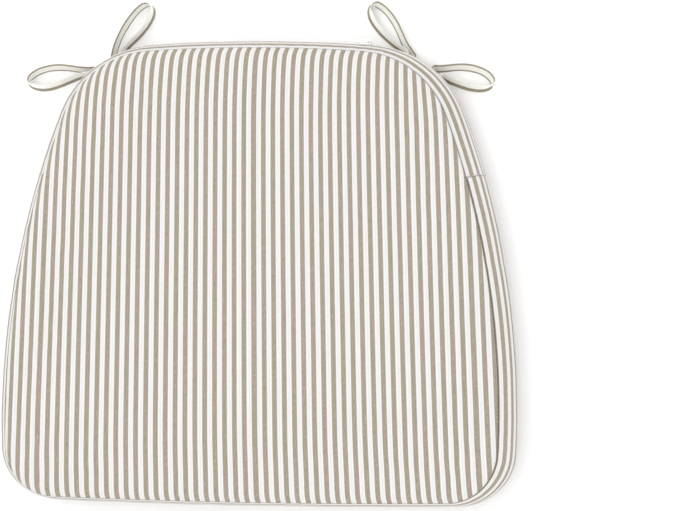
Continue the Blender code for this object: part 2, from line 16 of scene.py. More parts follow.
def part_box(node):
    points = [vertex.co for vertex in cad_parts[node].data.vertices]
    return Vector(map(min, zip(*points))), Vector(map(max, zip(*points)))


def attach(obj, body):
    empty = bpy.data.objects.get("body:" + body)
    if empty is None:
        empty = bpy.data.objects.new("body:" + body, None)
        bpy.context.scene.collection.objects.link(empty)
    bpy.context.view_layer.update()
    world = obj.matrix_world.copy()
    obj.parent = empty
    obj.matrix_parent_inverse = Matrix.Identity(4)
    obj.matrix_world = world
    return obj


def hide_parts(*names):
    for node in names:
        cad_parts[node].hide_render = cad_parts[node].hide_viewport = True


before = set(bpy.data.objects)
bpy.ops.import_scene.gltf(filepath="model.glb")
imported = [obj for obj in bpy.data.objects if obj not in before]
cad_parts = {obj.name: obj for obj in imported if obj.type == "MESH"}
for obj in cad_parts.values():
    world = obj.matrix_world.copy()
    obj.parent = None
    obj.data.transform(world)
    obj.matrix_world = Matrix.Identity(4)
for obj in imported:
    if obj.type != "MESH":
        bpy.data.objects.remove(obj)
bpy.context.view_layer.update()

MM = 0.001

# Plan of the pad along its seams, as in the CAD model: bowed edges joined by round corners.
FRONT_CORNER = Vector((198.0, -174.8)) * MM
REAR_CORNER = Vector((136.0, 169.2)) * MM
FRONT_BOW = 3.0 * MM
SIDE_BOW = 24.0 * MM
REAR_BOW = 7.0 * MM
FRONT_RADIUS = 40.0 * MM
REAR_RADIUS = 78.0 * MM
BAND_JOIN_ANGLE = math.radians(17.0)

# Heights, from the frame.
UPPER_SEAM_Z = sum(corner.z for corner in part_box("upper_seam_thread")) / 2
LOWER_SEAM_Z = sum(corner.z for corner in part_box("lower_seam_thread")) / 2
BAND_MID_Z = (UPPER_SEAM_Z + LOWER_SEAM_Z) / 2

# Swell of the band and of the panels.
SIDE_BULGE = 9.2 * MM                           # how far the band swells out at the sides,
REAR_BULGE = 5.8 * MM                           # at the rear
FRONT_BULGE = 3.0 * MM                          # and at the front
TOP_ROLL = 6.2 * MM                             # height of the top panel's rolled edge
TOP_ROLL_WIDTH = 9.0 * MM
TOP_RISE = 1.4 * MM                             # from there to the level middle
TOP_RISE_WIDTH = 16.0 * MM
BOTTOM_ROLL_WIDTH = 8.0 * MM

# Cloth. A turned or folded edge is given as points (inset, height from the edge).
CLOTH = 0.6 * MM                                # thickness
SEAM_GAP = 0.32 * MM                            # from the seam's middle to each cloth edge
TURNED_EDGE = [(7.0 * MM, CLOTH), (2.0 * MM, CLOTH), (0.7 * MM, 0.5 * CLOTH), (0.15 * MM, 0.05 * MM)]
FOLD_DEPTH = 2.3 * CLOTH
FOLDED_EDGE = [(FOLD_DEPTH, 6.0 * MM), (FOLD_DEPTH, 2.0 * MM), (0.85 * FOLD_DEPTH, 0.4 * MM),
               (0.5 * FOLD_DEPTH, 0.0), (0.15 * FOLD_DEPTH, 0.1 * MM)]
REAR_CORNER_TURN = math.radians(48.0)           # rear corners' middles, from straight back
EASE_TURN = math.radians(24.0)                  # how far round a corner its cloth is gathered
EASE_DEPTH = 9.0 * MM                           # how deep the gathering reaches
DRAG_TURN = math.radians(105.0)                 # where the rear seam is pulled sideways most
TOP_CAP = 1.6 * MM                              # how far stuffing may move the top panel
SWELL_FRAMES = 20
BAND_PUCKER = 0.34 * MM                         # size of the gathers along the band's seams
BAND_PUCKER_FADE = 7.0 * MM
BAND_WAVE = 0.22 * MM                           # size of the slow waves in the band's middle
BAND_WAVE_FADE = 9.0 * MM
BAND_JOIN_GAP = 0.0006                          # half the gap in the upright seams, radians
RING_SPACING = 3.0 * MM                         # mesh spacing along the seams
FIELD_SPACING = 5.0 * MM                        # mesh spacing in the middle of a panel
STRIPE_PITCH = 7.94                             # cloth millimetres from beige to beige
WARP_PITCH = 0.44                               # cloth millimetres from yarn to yarn
WEFT_PITCH = 0.52
STRIPE_LEAN = 0.0168                            # top panel's stripes, across for each along
STRIPE_NARROWING = 0.0363 / 180.0               # for each cloth millimetre towards the rear,
STRIPE_ORIGIN = 8.2                             # counted from this far in front of the middle
STRIPE_SHIFT = 0.687                            # in stripe repeats
BOTTOM_STRIPE_SHIFT = 2.0
FRONT_BAND_STRIPE = 7.4                         # first stripe's middle, cloth millimetres down
REAR_BAND_STRIPE = 6.0
LOWER_STRIP_STRIPE = 2.0

# Zip.
ZIP_HALF_WINDOW = 95.0 * MM
ZIP_HALF_HEIGHT = 4.6 * MM
ZIP_END_TAPER = 7.0 * MM
ZIP_HALF_TRAVEL = 84.0 * MM
COIL_INSET = -5.02 * MM                         # middle of the coils, out from the seam line
COIL_HALF_LENGTH = 90.5 * MM
COIL_PITCH = 1.10 * MM
COIL_OFFSET = 1.34 * MM                         # middle of each coil, up or down from the chain's
COIL_HALF_HEIGHT = 0.75 * MM
COIL_HALF_DEPTH = 0.45 * MM
COIL_WIRE = 0.26 * MM
ZIP_TAPE_NEAR = 0.7 * MM                        # tape's edge, up or down from the chain's middle
ZIP_TAPE_INSET = 1.83 * MM                      # tape's depth behind the band's face
ZIP_TAPE_THICKNESS = 0.45 * MM
STRIPS = ((1, "upper"), (-1, "lower"))

# Sewing.
STITCH = 2.4 * MM
STITCH_GAP = 0.7 * MM
SEAM_STITCH_INSET = 0.35 * MM
STITCH_SEAT = 0.05 * MM                         # how far the band's stitches lie off its face
TOPSTITCH = 2.6 * MM
TOPSTITCH_MARGIN = 2.2 * MM                     # from the folded edge
THREAD_RADIUS = 0.24 * MM
TACK_RADIUS = 0.17 * MM
TACK_HALF_HEIGHT = 1.9 * MM
TACK_HALF_WIDTH = 0.9 * MM

# Ties.
TIE_WIDTH = 9.0 * MM
TIE_THICKNESS = 0.9 * MM
TIE_CLEARANCE = 0.4 * MM
TIE_TWIST_LENGTH = 8.0 * MM                     # over which a tape turns from lying to standing
TIE_ROOT_LEVEL = 0.55 * MM                      # its two ends lie one over the other in the seam
TIE_STITCH = 2.2 * MM
TIE_STITCH_GAP = 0.8 * MM
TIE_STITCH_RADIUS = 0.13 * MM

# Camera: where it looks, from which direction, and how far away it stands.
VIEW_TARGET = Vector((58.6, 15.5, 3.0)) * MM
VIEW_DIRECTION = Vector((0.29176, -0.0154, 0.95637)).normalized()
VIEW_UP = Vector((-0.00842, 0.99979, 0.01867))
VIEW_DISTANCE = 6.0
LENS = 407.1

# Light: even white surroundings, and lamps given by name, place, size and power.
SKY_STRENGTH = 1.25
LAMPS = (("key", (-0.6, 0.6, 1.8), 1.2, 6.0), ("fill", (1.2, -0.9, 1.4), 1.4, 3.5))


# ---------------------------------------------------------------- outline of the pad

def bowed_edge(start, end, bow):
    """Centre and radius of the arc from start to end that bows out to the right by bow."""
    along = end - start
    radius = (along.length_squared / 4 + bow * bow) / (2 * bow)
    away = Vector((along.y, -along.x)).normalized()
    return (start + end) / 2 - away * (radius - bow), radius


def round_corner(first, second, radius, corner):
    """Centre of the circle of this radius that touches both edge arcs from inside."""
    (c1, r1), (c2, r2) = first, second
    d1, d2 = r1 - radius, r2 - radius
    between = c2 - c1
    along = (d1 * d1 - d2 * d2 + between.length_squared) / (2 * between.length)
    across = math.sqrt(d1 * d1 - along * along)
    unit = between.normalized()
    foot = c1 + unit * along
    side = Vector((-unit.y, unit.x)) * across
    return min(foot + side, foot - side, key=lambda centre: (centre - corner).length)


def heading(vector):
    return math.atan2(vector.y, vector.x)


def half_outline():
    """Arcs (centre, radius, last outward direction) from the middle of the front to the rear."""
    front_left = Vector((-FRONT_CORNER.x, FRONT_CORNER.y))
    rear_left = Vector((-REAR_CORNER.x, REAR_CORNER.y))
    front = bowed_edge(front_left, FRONT_CORNER, FRONT_BOW)
    side = bowed_edge(FRONT_CORNER, REAR_CORNER, SIDE_BOW)
    rear = bowed_edge(REAR_CORNER, rear_left, REAR_BOW)
    front_corner = round_corner(front, side, FRONT_RADIUS, FRONT_CORNER)
    rear_corner = round_corner(side, rear, REAR_RADIUS, REAR_CORNER)
    return ((front[0], front[1], heading(front_corner - front[0])),
            (front_corner, FRONT_RADIUS, heading(front_corner - side[0])),
            (side[0], side[1], heading(rear_corner - side[0])),
            (rear_corner, REAR_RADIUS, heading(rear_corner - rear[0])),
            (rear[0], rear[1], math.pi / 2))


ARCS = half_outline()
CENTRES = np.array([arc[0] for arc in ARCS])
RADII = np.array([arc[1] for arc in ARCS])
LAST_ANGLES = np.array([arc[2] for arc in ARCS])


def rim(angles, inset=0.0):
    """Points (x, y) of the outline with these outward directions, moved in by inset.

    The outline is the same on both sides, so only the arcs of its right half are stored.
    """
    turned = (np.asarray(angles, float) + math.pi / 2) % (2 * math.pi) - math.pi / 2
    mirrored = turned > math.pi / 2
    turned = np.where(mirrored, math.pi - turned, turned)
    index = np.searchsorted(LAST_ANGLES[:-1], turned - 1e-9)
    reach = RADII[index] - inset
    x = CENTRES[index, 0] + reach * np.cos(turned)
    y = CENTRES[index, 1] + reach * np.sin(turned)
    return np.stack([np.where(mirrored, -x, x), y], axis=-1)


def length_table():
    """Outward directions and the outline length up to each, over two turns from the front."""
    starts = np.concatenate([[-math.pi / 2], LAST_ANGLES[:-1]])
    half_lengths = RADII * (LAST_ANGLES - starts)
    turn_angles = np.concatenate([starts, [math.pi / 2], (math.pi - starts[1:])[::-1]])
    turn_lengths = np.concatenate([[0.0], half_lengths, half_lengths[::-1]]).cumsum()
    perimeter = turn_lengths[-1]
    angles = np.concatenate([turn_angles, turn_angles + 2 * math.pi, [3.5 * math.pi]])
    return angles, np.concatenate([turn_lengths[:-1], turn_lengths + perimeter]), perimeter


TABLE_ANGLES, TABLE_LENGTHS, PERIMETER = length_table()


def run_at(angles):
    """Distance along the seam from the middle of the front."""
    return np.interp(angles, TABLE_ANGLES, TABLE_LENGTHS)


def spread(start, end, spacing=RING_SPACING):
    """Outward directions evenly spaced along the seam, from start to end."""
    first, last = run_at([start, end])
    count = max(2, round((last - first) / spacing)) + 1
    return np.interp(np.linspace(first, last, count), TABLE_LENGTHS, TABLE_ANGLES)


def whole_turn(spacing=RING_SPACING):
    """Outward directions evenly spaced all round the seam, each place once."""
    return spread(-math.pi / 2, 1.5 * math.pi, spacing)[:-1]


def rear_angle(x):
    """Outward direction of the rear half of the outline at position x."""
    angles = spread(0.0, math.pi, 0.5 * MM)
    return np.interp(-np.asarray(x), -rim(angles)[:, 0], angles)


def rear_span(half_length, spacing=1.0 * MM):
    """Outward directions along the rear edge, from +X to -X."""
    first, last = rear_angle([half_length, -half_length])
    return spread(first, last, spacing)


def outward(angles):
    return np.stack([np.cos(angles), np.sin(angles), np.zeros(np.shape(angles))], axis=-1)


def at_height(plan, z):
    """Plan points with a height, one number or one for each."""
    return np.concatenate([plan, np.broadcast_to(z, plan.shape[:-1])[..., None]], axis=-1)


def ripple(angles, waves, phase):
    """Uneven wave along the seam, from about -1 to 1, with this many waves in one turn."""
    turn = 2 * math.pi * run_at(angles) / PERIMETER
    drift = np.sin(5 * turn + phase) + 0.8 * np.sin(13 * turn + 2.1 * phase)
    swell = 0.62 + 0.38 * np.sin(7 * turn + 1.3 * phase)
    return np.sin(waves * turn + 1.9 * drift + phase) * swell


# ---------------------------------------------------------------- mesh helpers

def put(name, points, faces, body="pad", smooth=True):
    """Mesh object from an array of points and a list of faces, riding on a body."""
    mesh = bpy.data.meshes.new(name)
    mesh.from_pydata(np.asarray(points, float).reshape(-1, 3).tolist(), [], faces)
    if smooth:
        mesh.shade_smooth()
    made = bpy.data.objects.new(name, mesh)
    bpy.context.scene.collection.objects.link(made)
    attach(made, body)
    return made


def look_name(node):
    """Name of the visible piece that stands for a CAD node."""
    return node + "_look"


def dress(made, material):
    made.data.materials.clear()
    made.data.materials.append(material)


def stand_for(made, node, material):
    """Give the piece its material and let it take the CAD node's place."""
    dress(made, material)
    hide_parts(node)


def grid_faces(rows, columns, closed=False):
    """Quads between the points of a grid that is stored row by row. closed joins its rows' ends."""
    faces = []
    for row in range(0, (rows - 1) * columns, columns):
        for i in range(columns if closed else columns - 1):
            j = (i + 1) % columns
            faces.append((row + i, row + j, row + columns + j, row + columns + i))
    return faces


def mark_cloth(made, across, along, extra=0.0):
    """Store each point's place in the flat cloth, in millimetres, and one more number."""
    values = np.stack(np.broadcast_arrays(across, along, extra), axis=-1).astype(np.float32)
    made.data.attributes.new("cloth", "FLOAT_VECTOR", "POINT").data.foreach_set("vector", values.ravel())


def finalise(made):
    """Replace the mesh by what its modifiers make of it."""
    shaped = bpy.data.meshes.new_from_object(made.evaluated_get(bpy.context.evaluated_depsgraph_get()))
    made.modifiers.clear()
    made.data = shaped


def subdivide(made):
    step = made.modifiers.new("subdivision", "SUBSURF")
    step.levels = 1
    step.render_levels = 1


def thicken(made, thickness=CLOTH):
    """Give a sheet the cloth's thickness, on the side away from its normals."""
    step = made.modifiers.new("thickness", "SOLIDIFY")
    step.thickness = thickness
    step.offset = -1.0


def face_outward(made):
    """Turn every face of closed bodies to the outside."""
    bm = bmesh.new()
    bm.from_mesh(made.data)
    bmesh.ops.recalc_face_normals(bm, faces=bm.faces)
    bm.to_mesh(made.data)
    bm.free()


def positions(made):
    flat = np.zeros(len(made.data.vertices) * 3)
    made.data.vertices.foreach_get("co", flat)
    return flat.reshape(-1, 3)


def set_positions(made, points):
    made.data.vertices.foreach_set("co", np.asarray(points, np.float32).ravel())
    made.data.update()


def frames_along(path):
    """Unit tangents of a polyline given as an array of points."""
    step = np.gradient(path, axis=0)
    return step / np.linalg.norm(step, axis=1)[:, None]


def resample(path, spacing):
    """The same line with evenly spaced points. Extra columns are carried along."""
    gaps = np.linalg.norm(np.diff(path[:, :3], axis=0), axis=1)
    run = np.concatenate([[0.0], gaps.cumsum()])
    count = max(2, round(run[-1] / spacing)) + 1
    places = np.linspace(0.0, run[-1], count)
    return np.stack([np.interp(places, run, column) for column in path.T], axis=1)


def line_length(path):
    return float(np.linalg.norm(np.diff(path[:, :3], axis=0), axis=1).sum())


def end_caps(rows, count):
    """The two end faces of a tube of this many rows of count points."""
    return [tuple(range(count))[::-1], tuple(range((rows - 1) * count, rows * count))]


def tube_mesh(path, side, radius, sides=6):
    """Points and faces of a round strand along path. side is a direction across it."""
    along = frames_along(path)
    across = side - along * (side * along).sum(1)[:, None]
    across /= np.linalg.norm(across, axis=1)[:, None]
    up = np.cross(along, across)
    radii = np.full(len(path), radius)
    radii[[0, -1]] *= 0.45
    turns = np.linspace(0, 2 * math.pi, sides, endpoint=False)
    ring = (np.cos(turns)[None, :, None] * across[:, None] + np.sin(turns)[None, :, None] * up[:, None])
    points = path[:, None] + ring * radii[:, None, None]
    faces = grid_faces(len(path), sides, closed=True) + end_caps(len(path), sides)
    return points.reshape(-1, 3), [face[::-1] for face in faces]


def strands(name, paths, radius=THREAD_RADIUS):
    """One object made of several strands; each path is (points, directions across)."""
    points, faces, offset = [], [], 0
    for path, side in paths:
        strand_points, strand_faces = tube_mesh(path, side, radius)
        points.append(strand_points)
        faces += [tuple(index + offset for index in face) for face in strand_faces]
        offset += len(strand_points)
    return put(name, np.concatenate(points), faces)


def stitches(name, path, normals, length=STITCH, gap=STITCH_GAP, radius=THREAD_RADIUS, rise=0.6):
    """Separate stitches along a line: each rises out of the cloth and goes back in."""
    line = resample(np.concatenate([path, normals], axis=1), 0.25 * MM)
    run = np.arange(len(line)) * (line_length(path) / (len(line) - 1))
    count = max(1, int((run[-1] + gap) // (length + gap)))
    pitch = (run[-1] + gap) / count
    arch = np.sin(np.linspace(0, math.pi, 5))
    made = []
    for number in range(count):
        places = np.linspace(number * pitch, (number + 1) * pitch - gap, 5)
        points = np.stack([np.interp(places, run, line[:, k]) for k in range(3)], axis=1)
        normal = np.stack([np.interp(places, run, line[:, k]) for k in range(3, 6)], axis=1)
        lift = radius * (rise - 1.4 * (1 - arch))
        made.append((points + normal * lift[:, None], normal))
    return strands(name, made, radius)


# ---------------------------------------------------------------- material helpers

class Shader:
    """A new material with a Principled BSDF and short ways to add nodes."""

    def __init__(self, name, roughness=0.8, **sockets):
        self.material = bpy.data.materials.new(name)
        self.material.use_nodes = True
        self.tree = self.material.node_tree
        self.surface = self.tree.nodes["Principled BSDF"]
        self.surface.inputs["Roughness"].default_value = roughness
        for socket, value in sockets.items():
            self.surface.inputs[socket.replace("_", " ")].default_value = value

    def feed(self, socket, value):
        if isinstance(value, bpy.types.NodeSocket):
            self.tree.links.new(value, socket)
        elif isinstance(value, tuple) and len(value) == 3 and socket.type == "RGBA":
            socket.default_value = (*value, 1.0)
        else:
            socket.default_value = value

    def node(self, kind, **inputs):
        made = self.tree.nodes.new(kind)
        for name, value in inputs.items():
            self.feed(made.inputs[name], value)
        return made

    def math(self, operation, *values):
        made = self.tree.nodes.new("ShaderNodeMath")
        made.operation = operation
        for socket, value in zip(made.inputs, values):
            self.feed(socket, value)
        return made.outputs[0]

    def blend(self, factor, first, second, mode="MIX"):
        made = self.tree.nodes.new("ShaderNodeMix")
        made.data_type = "RGBA"
        made.blend_type = mode
        self.feed(made.inputs["Factor"], factor)
        self.feed(made.inputs["A"], first)
        self.feed(made.inputs["B"], second)
        return made.outputs["Result"]

    def scale(self, colour, shade):
        """A colour times one number."""
        return self.blend(1.0, colour, self.vector(shade, shade, shade), "MULTIPLY")

    def remap(self, value, low, high, new_low=0.0, new_high=1.0):
        made = self.tree.nodes.new("ShaderNodeMapRange")
        made.interpolation_type = "SMOOTHSTEP"
        for socket, number in zip(made.inputs, (value, low, high, new_low, new_high)):
            self.feed(socket, number)
        return made.outputs[0]

    def vector(self, x, y=0.0, z=0.0):
        return self.node("ShaderNodeCombineXYZ", X=x, Y=y, Z=z).outputs[0]

    def noise(self, place, scale, detail=2.0, roughness=0.5):
        made = self.node("ShaderNodeTexNoise", Vector=place, Scale=scale, Detail=detail, Roughness=roughness)
        return made.outputs["Fac"]

    def attribute(self, name):
        made = self.tree.nodes.new("ShaderNodeAttribute")
        made.attribute_name = name
        parts = self.node("ShaderNodeSeparateXYZ", Vector=made.outputs["Vector"])
        return parts.outputs[0], parts.outputs[1], parts.outputs[2]

    def stretched(self, place, scale):
        made = self.node("ShaderNodeMapping", Vector=place)
        made.inputs["Scale"].default_value = scale
        return made.outputs[0]

    def object_place(self):
        return self.tree.nodes.new("ShaderNodeTexCoord").outputs["Object"]

    def finish(self, colour, height=None, distance=0.1 * MM, strength=1.0, roughness=None):
        self.feed(self.surface.inputs["Base Color"], colour)
        if height is not None:
            bump = self.node("ShaderNodeBump", Height=height, Distance=distance, Strength=strength)
            self.feed(self.surface.inputs["Normal"], bump.outputs[0])
        if roughness is not None:
            self.feed(self.surface.inputs["Roughness"], roughness)
        return self.material


def woven(shader, across, along, warp_pitch, weft_pitch, harness=4.0):
    """Twill weave. Returns the warp yarn's middle, where the weft shows, and the height."""
    warp = shader.math("DIVIDE", across, warp_pitch)
    weft = shader.math("DIVIDE", along, weft_pitch)
    warp_number = shader.math("FLOOR", warp)
    weft_number = shader.math("FLOOR", weft)
    step = shader.math("FLOORED_MODULO", shader.math("ADD", warp_number, weft_number), harness)
    weft_shows = shader.math("LESS_THAN", step, 0.5)
    warp_round = shader.math("SINE", shader.math("MULTIPLY", shader.math("FRACT", warp), math.pi))
    weft_round = shader.math("SINE", shader.math("MULTIPLY", shader.math("FRACT", weft), math.pi))
    weft_height = shader.math("MULTIPLY", weft_round, 0.7)
    height = shader.node("ShaderNodeMix", Factor=weft_shows, A=warp_round, B=weft_height).outputs[0]
    middle = shader.math("MULTIPLY", shader.math("ADD", warp_number, 0.5), warp_pitch)
    return middle, weft_shows, height


def yarn_slubs(shader, middle, along):
    """Noise that differs from yarn to yarn and changes along each one."""
    place = shader.vector(shader.math("MULTIPLY", middle, 9.1), shader.math("MULTIPLY", along, 0.35))
    return shader.noise(place, 1.0, 3.0, 0.6)


def striped_cloth():
    """Cotton twill ticking: beige and white warps in equal stripes, white weft."""
    shader = Shader("striped_cloth", Sheen_Weight=0.10, Sheen_Roughness=0.5, Specular_IOR_Level=0.25)
    across, along, from_seam = shader.attribute("cloth")
    middle, weft_shows, height = woven(shader, across, along, WARP_PITCH, WEFT_PITCH)
    stripe = shader.math("DIVIDE", middle, STRIPE_PITCH)
    stripe_number = shader.math("ROUND", stripe)
    from_middle = shader.math("ABSOLUTE", shader.math("SUBTRACT", stripe, stripe_number))
    beige = shader.math("LESS_THAN", from_middle, 0.25)

    # Each stripe leans a little to olive or pink, slowly changing along its length.
    hue_place = shader.vector(shader.math("MULTIPLY", stripe_number, 3.7),
                              shader.math("MULTIPLY", along, 0.011))
    hue = shader.remap(shader.noise(hue_place, 1.0, 3.0), 0.38, 0.62)
    beige_colour = shader.blend(hue, (0.280, 0.254, 0.180), (0.306, 0.250, 0.206))
    slub = yarn_slubs(shader, middle, along)
    beige_colour = shader.scale(beige_colour, shader.remap(slub, 0.25, 0.75, 0.80, 1.18))
    # Flecks where picks of the twill group together, seen from further away.
    fleck_place = shader.vector(shader.math("MULTIPLY", shader.math("ADD", across, along), 1.4),
                                shader.math("MULTIPLY", shader.math("SUBTRACT", across, along), 0.7))
    fleck = shader.noise(fleck_place, 1.0, 2.0, 0.6)
    beige_colour = shader.scale(beige_colour, shader.remap(fleck, 0.38, 0.64, 0.50, 1.58))
    # White warps are greyer along the middle of their stripe.
    white_middle = shader.remap(from_middle, 0.30, 0.5)
    white_colour = shader.blend(white_middle, (0.76, 0.745, 0.72), (0.655, 0.652, 0.672))
    colour = shader.blend(beige, white_colour, beige_colour)
    weft_colour = shader.blend(beige, (0.71, 0.70, 0.685), (0.44, 0.395, 0.33))
    colour = shader.blend(weft_shows, colour, weft_colour)
    # Painted shade: the colour is darker between the yarns and down in the crease at the seam.
    colour = shader.scale(colour, shader.remap(height, 0.0, 0.7, 0.84, 1.0))
    colour = shader.scale(colour, shader.remap(from_seam, 0.1, 0.7, 0.55, 1.0))
    fuzz = shader.noise(shader.vector(across, along), 2.3, 4.0, 0.7)
    relief = shader.math("MULTIPLY_ADD", fuzz, 0.5, height)
    rough = shader.remap(slub, 0.2, 0.8, 0.78, 0.92)
    return shader.finish(colour, relief, 0.10 * MM, 0.7, rough)


def tie_cloth():
    """Folded tape of the striped cloth: its faces show the stripes that fell on the fold."""
    shader = Shader("tie_cloth", Sheen_Weight=0.12, Sheen_Roughness=0.5, Specular_IOR_Level=0.25)
    across, along, face = shader.attribute("cloth")
    middle, weft_shows, height = woven(shader, across, along, WARP_PITCH, WEFT_PITCH)
    slub = yarn_slubs(shader, middle, along)
    # Inner face: beige along both edges. Outer face: white above, beige below.
    inner_beige = shader.math("GREATER_THAN", shader.math("ABSOLUTE", middle), 2.5)
    outer_beige = shader.math("MULTIPLY", shader.math("LESS_THAN", middle, -0.3),
                              shader.math("GREATER_THAN", middle, -3.9))
    inner = shader.math("GREATER_THAN", face, 0.0)
    beige = shader.node("ShaderNodeMix", Factor=inner, A=outer_beige, B=inner_beige).outputs[0]
    beige_colour = shader.scale((0.25, 0.215, 0.145), shader.remap(slub, 0.25, 0.75, 0.82, 1.16))
    # Painted light: the tie's white warps and weft are lighter than the panels' whites of the same cloth,
    # standing in for light shining through the thin tape into the shaded inside of each loop.
    colour = shader.blend(beige, (0.93, 0.92, 0.87), beige_colour)
    weft_colour = shader.blend(beige, (0.92, 0.91, 0.86), (0.46, 0.42, 0.33))
    colour = shader.blend(weft_shows, colour, weft_colour)
    relief = shader.math("MULTIPLY_ADD", slub, 0.5, height)
    return shader.finish(colour, relief, 0.10 * MM, 0.7)


def thread_material(name, colour):
    """Spun thread: two twisted plies with a soft sheen."""
    shader = Shader(name, 0.6, Sheen_Weight=0.2, Specular_IOR_Level=0.35)
    place = shader.object_place()
    wave = shader.node("ShaderNodeTexWave", Vector=place, Scale=900.0, Distortion=1.5)
    wave.bands_direction = "DIAGONAL"
    # Painted shade: the thread is darker in the grooves between its twisted plies.
    groove_shade_colour = tuple(0.72 * part for part in colour)
    colour_out = shader.blend(wave.outputs["Fac"], groove_shade_colour, colour)
    return shader.finish(colour_out, wave.outputs["Fac"], 0.05 * MM, 0.6)


def foam_material():
    """Open-cell polyurethane foam, slightly yellowed in patches."""
    shader = Shader("foam", 0.95, Subsurface_Weight=0.08, Specular_IOR_Level=0.2)
    place = shader.object_place()
    cells = shader.node("ShaderNodeTexVoronoi", Vector=place, Scale=650.0)
    patches = shader.noise(place, 18.0, 3.0)
    colour = shader.blend(shader.remap(patches, 0.35, 0.65), (0.84, 0.79, 0.62), (0.88, 0.85, 0.74))
    # Painted shade: the foam is darker down in each open cell.
    colour = shader.scale(colour, shader.remap(cells.outputs["Distance"], 0.0, 0.55, 0.80, 1.0))
    return shader.finish(colour, cells.outputs["Distance"], 0.35 * MM, 0.8)


def fibre_material():
    """Carded polyester wadding: tangled fine white fibres."""
    shader = Shader("fibre", 0.9, Sheen_Weight=0.4, Sheen_Roughness=0.4, Subsurface_Weight=0.15)
    place = shader.object_place()
    fibres = shader.noise(shader.stretched(place, (1.0, 0.25, 1.0)), 900.0, 5.0, 0.7)
    clumps = shader.noise(place, 45.0, 4.0)
    colour = shader.blend(shader.remap(fibres, 0.3, 0.7), (0.80, 0.80, 0.80), (0.93, 0.93, 0.92))
    relief = shader.math("MULTIPLY_ADD", clumps, 2.0, fibres)
    return shader.finish(colour, relief, 0.5 * MM, 0.8)


def zip_tape_material():
    """Woven polyester tape in a fine herringbone."""
    shader = Shader("zip_tape", 0.7, Sheen_Weight=0.15, Specular_IOR_Level=0.35)
    across, along, _ = shader.attribute("cloth")
    lane = shader.math("PINGPONG", across, 1.6)
    _, weft_shows, height = woven(shader, lane, along, 0.32, 0.32, 3.0)
    grime = shader.noise(shader.vector(across, along), 0.08, 3.0)
    colour = shader.blend(weft_shows, (0.80, 0.79, 0.76), (0.72, 0.71, 0.68))
    colour = shader.scale(colour, shader.remap(grime, 0.3, 0.7, 0.93, 1.0))
    return shader.finish(colour, height, 0.08 * MM, 0.8)


def nylon_material():
    """Semi-clear monofilament of the coils."""
    shader = Shader("nylon", 0.32, Subsurface_Weight=0.1, Specular_IOR_Level=0.5)
    streaks = shader.noise(shader.object_place(), 700.0, 2.0)
    colour = shader.blend(shader.remap(streaks, 0.3, 0.7), (0.80, 0.79, 0.76), (0.88, 0.87, 0.84))
    return shader.finish(colour, streaks, 0.02 * MM, 0.4)


def metal_material():
    """Nickel-plated zinc: bright, with fine scratches and duller patches where it is handled."""
    shader = Shader("zip_metal", 0.3, Metallic=1.0)
    place = shader.object_place()
    scratches = shader.noise(shader.stretched(place, (0.2, 1.0, 1.0)), 2600.0, 4.0, 0.7)
    handled = shader.noise(place, 260.0, 3.0)
    colour = shader.blend(shader.remap(handled, 0.35, 0.65), (0.62, 0.61, 0.58), (0.74, 0.73, 0.71))
    rough = shader.remap(handled, 0.3, 0.7, 0.22, 0.42)
    return shader.finish(colour, scratches, 0.02 * MM, 0.5, rough)


CLOTH_MATERIAL = striped_cloth()
TIE_MATERIAL = tie_cloth()
THREAD_MATERIAL = thread_material("thread", (0.80, 0.79, 0.76))
TACK_MATERIAL = thread_material("tack_thread", (0.26, 0.24, 0.21))
FOAM_MATERIAL = foam_material()
FIBRE_MATERIAL = fibre_material()
TAPE_MATERIAL = zip_tape_material()
NYLON_MATERIAL = nylon_material()
METAL_MATERIAL = metal_material()


# ---------------------------------------------------------------- camera

def make_camera():
    camera = bpy.data.objects.new("camera", bpy.data.cameras.new("camera"))
    bpy.context.scene.collection.objects.link(camera)
    right = VIEW_UP.cross(VIEW_DIRECTION).normalized()
    up = VIEW_DIRECTION.cross(right)
    turned = Matrix((right, up, VIEW_DIRECTION)).transposed().to_4x4()
    camera.matrix_world = Matrix.Translation(VIEW_TARGET + VIEW_DIRECTION * VIEW_DISTANCE) @ turned
    camera.data.lens = LENS
    camera.data.sensor_width = 36.0
    camera.data.clip_end = 50.0
    bpy.context.scene.camera = camera


make_camera()


# ---------------------------------------------------------------- ties

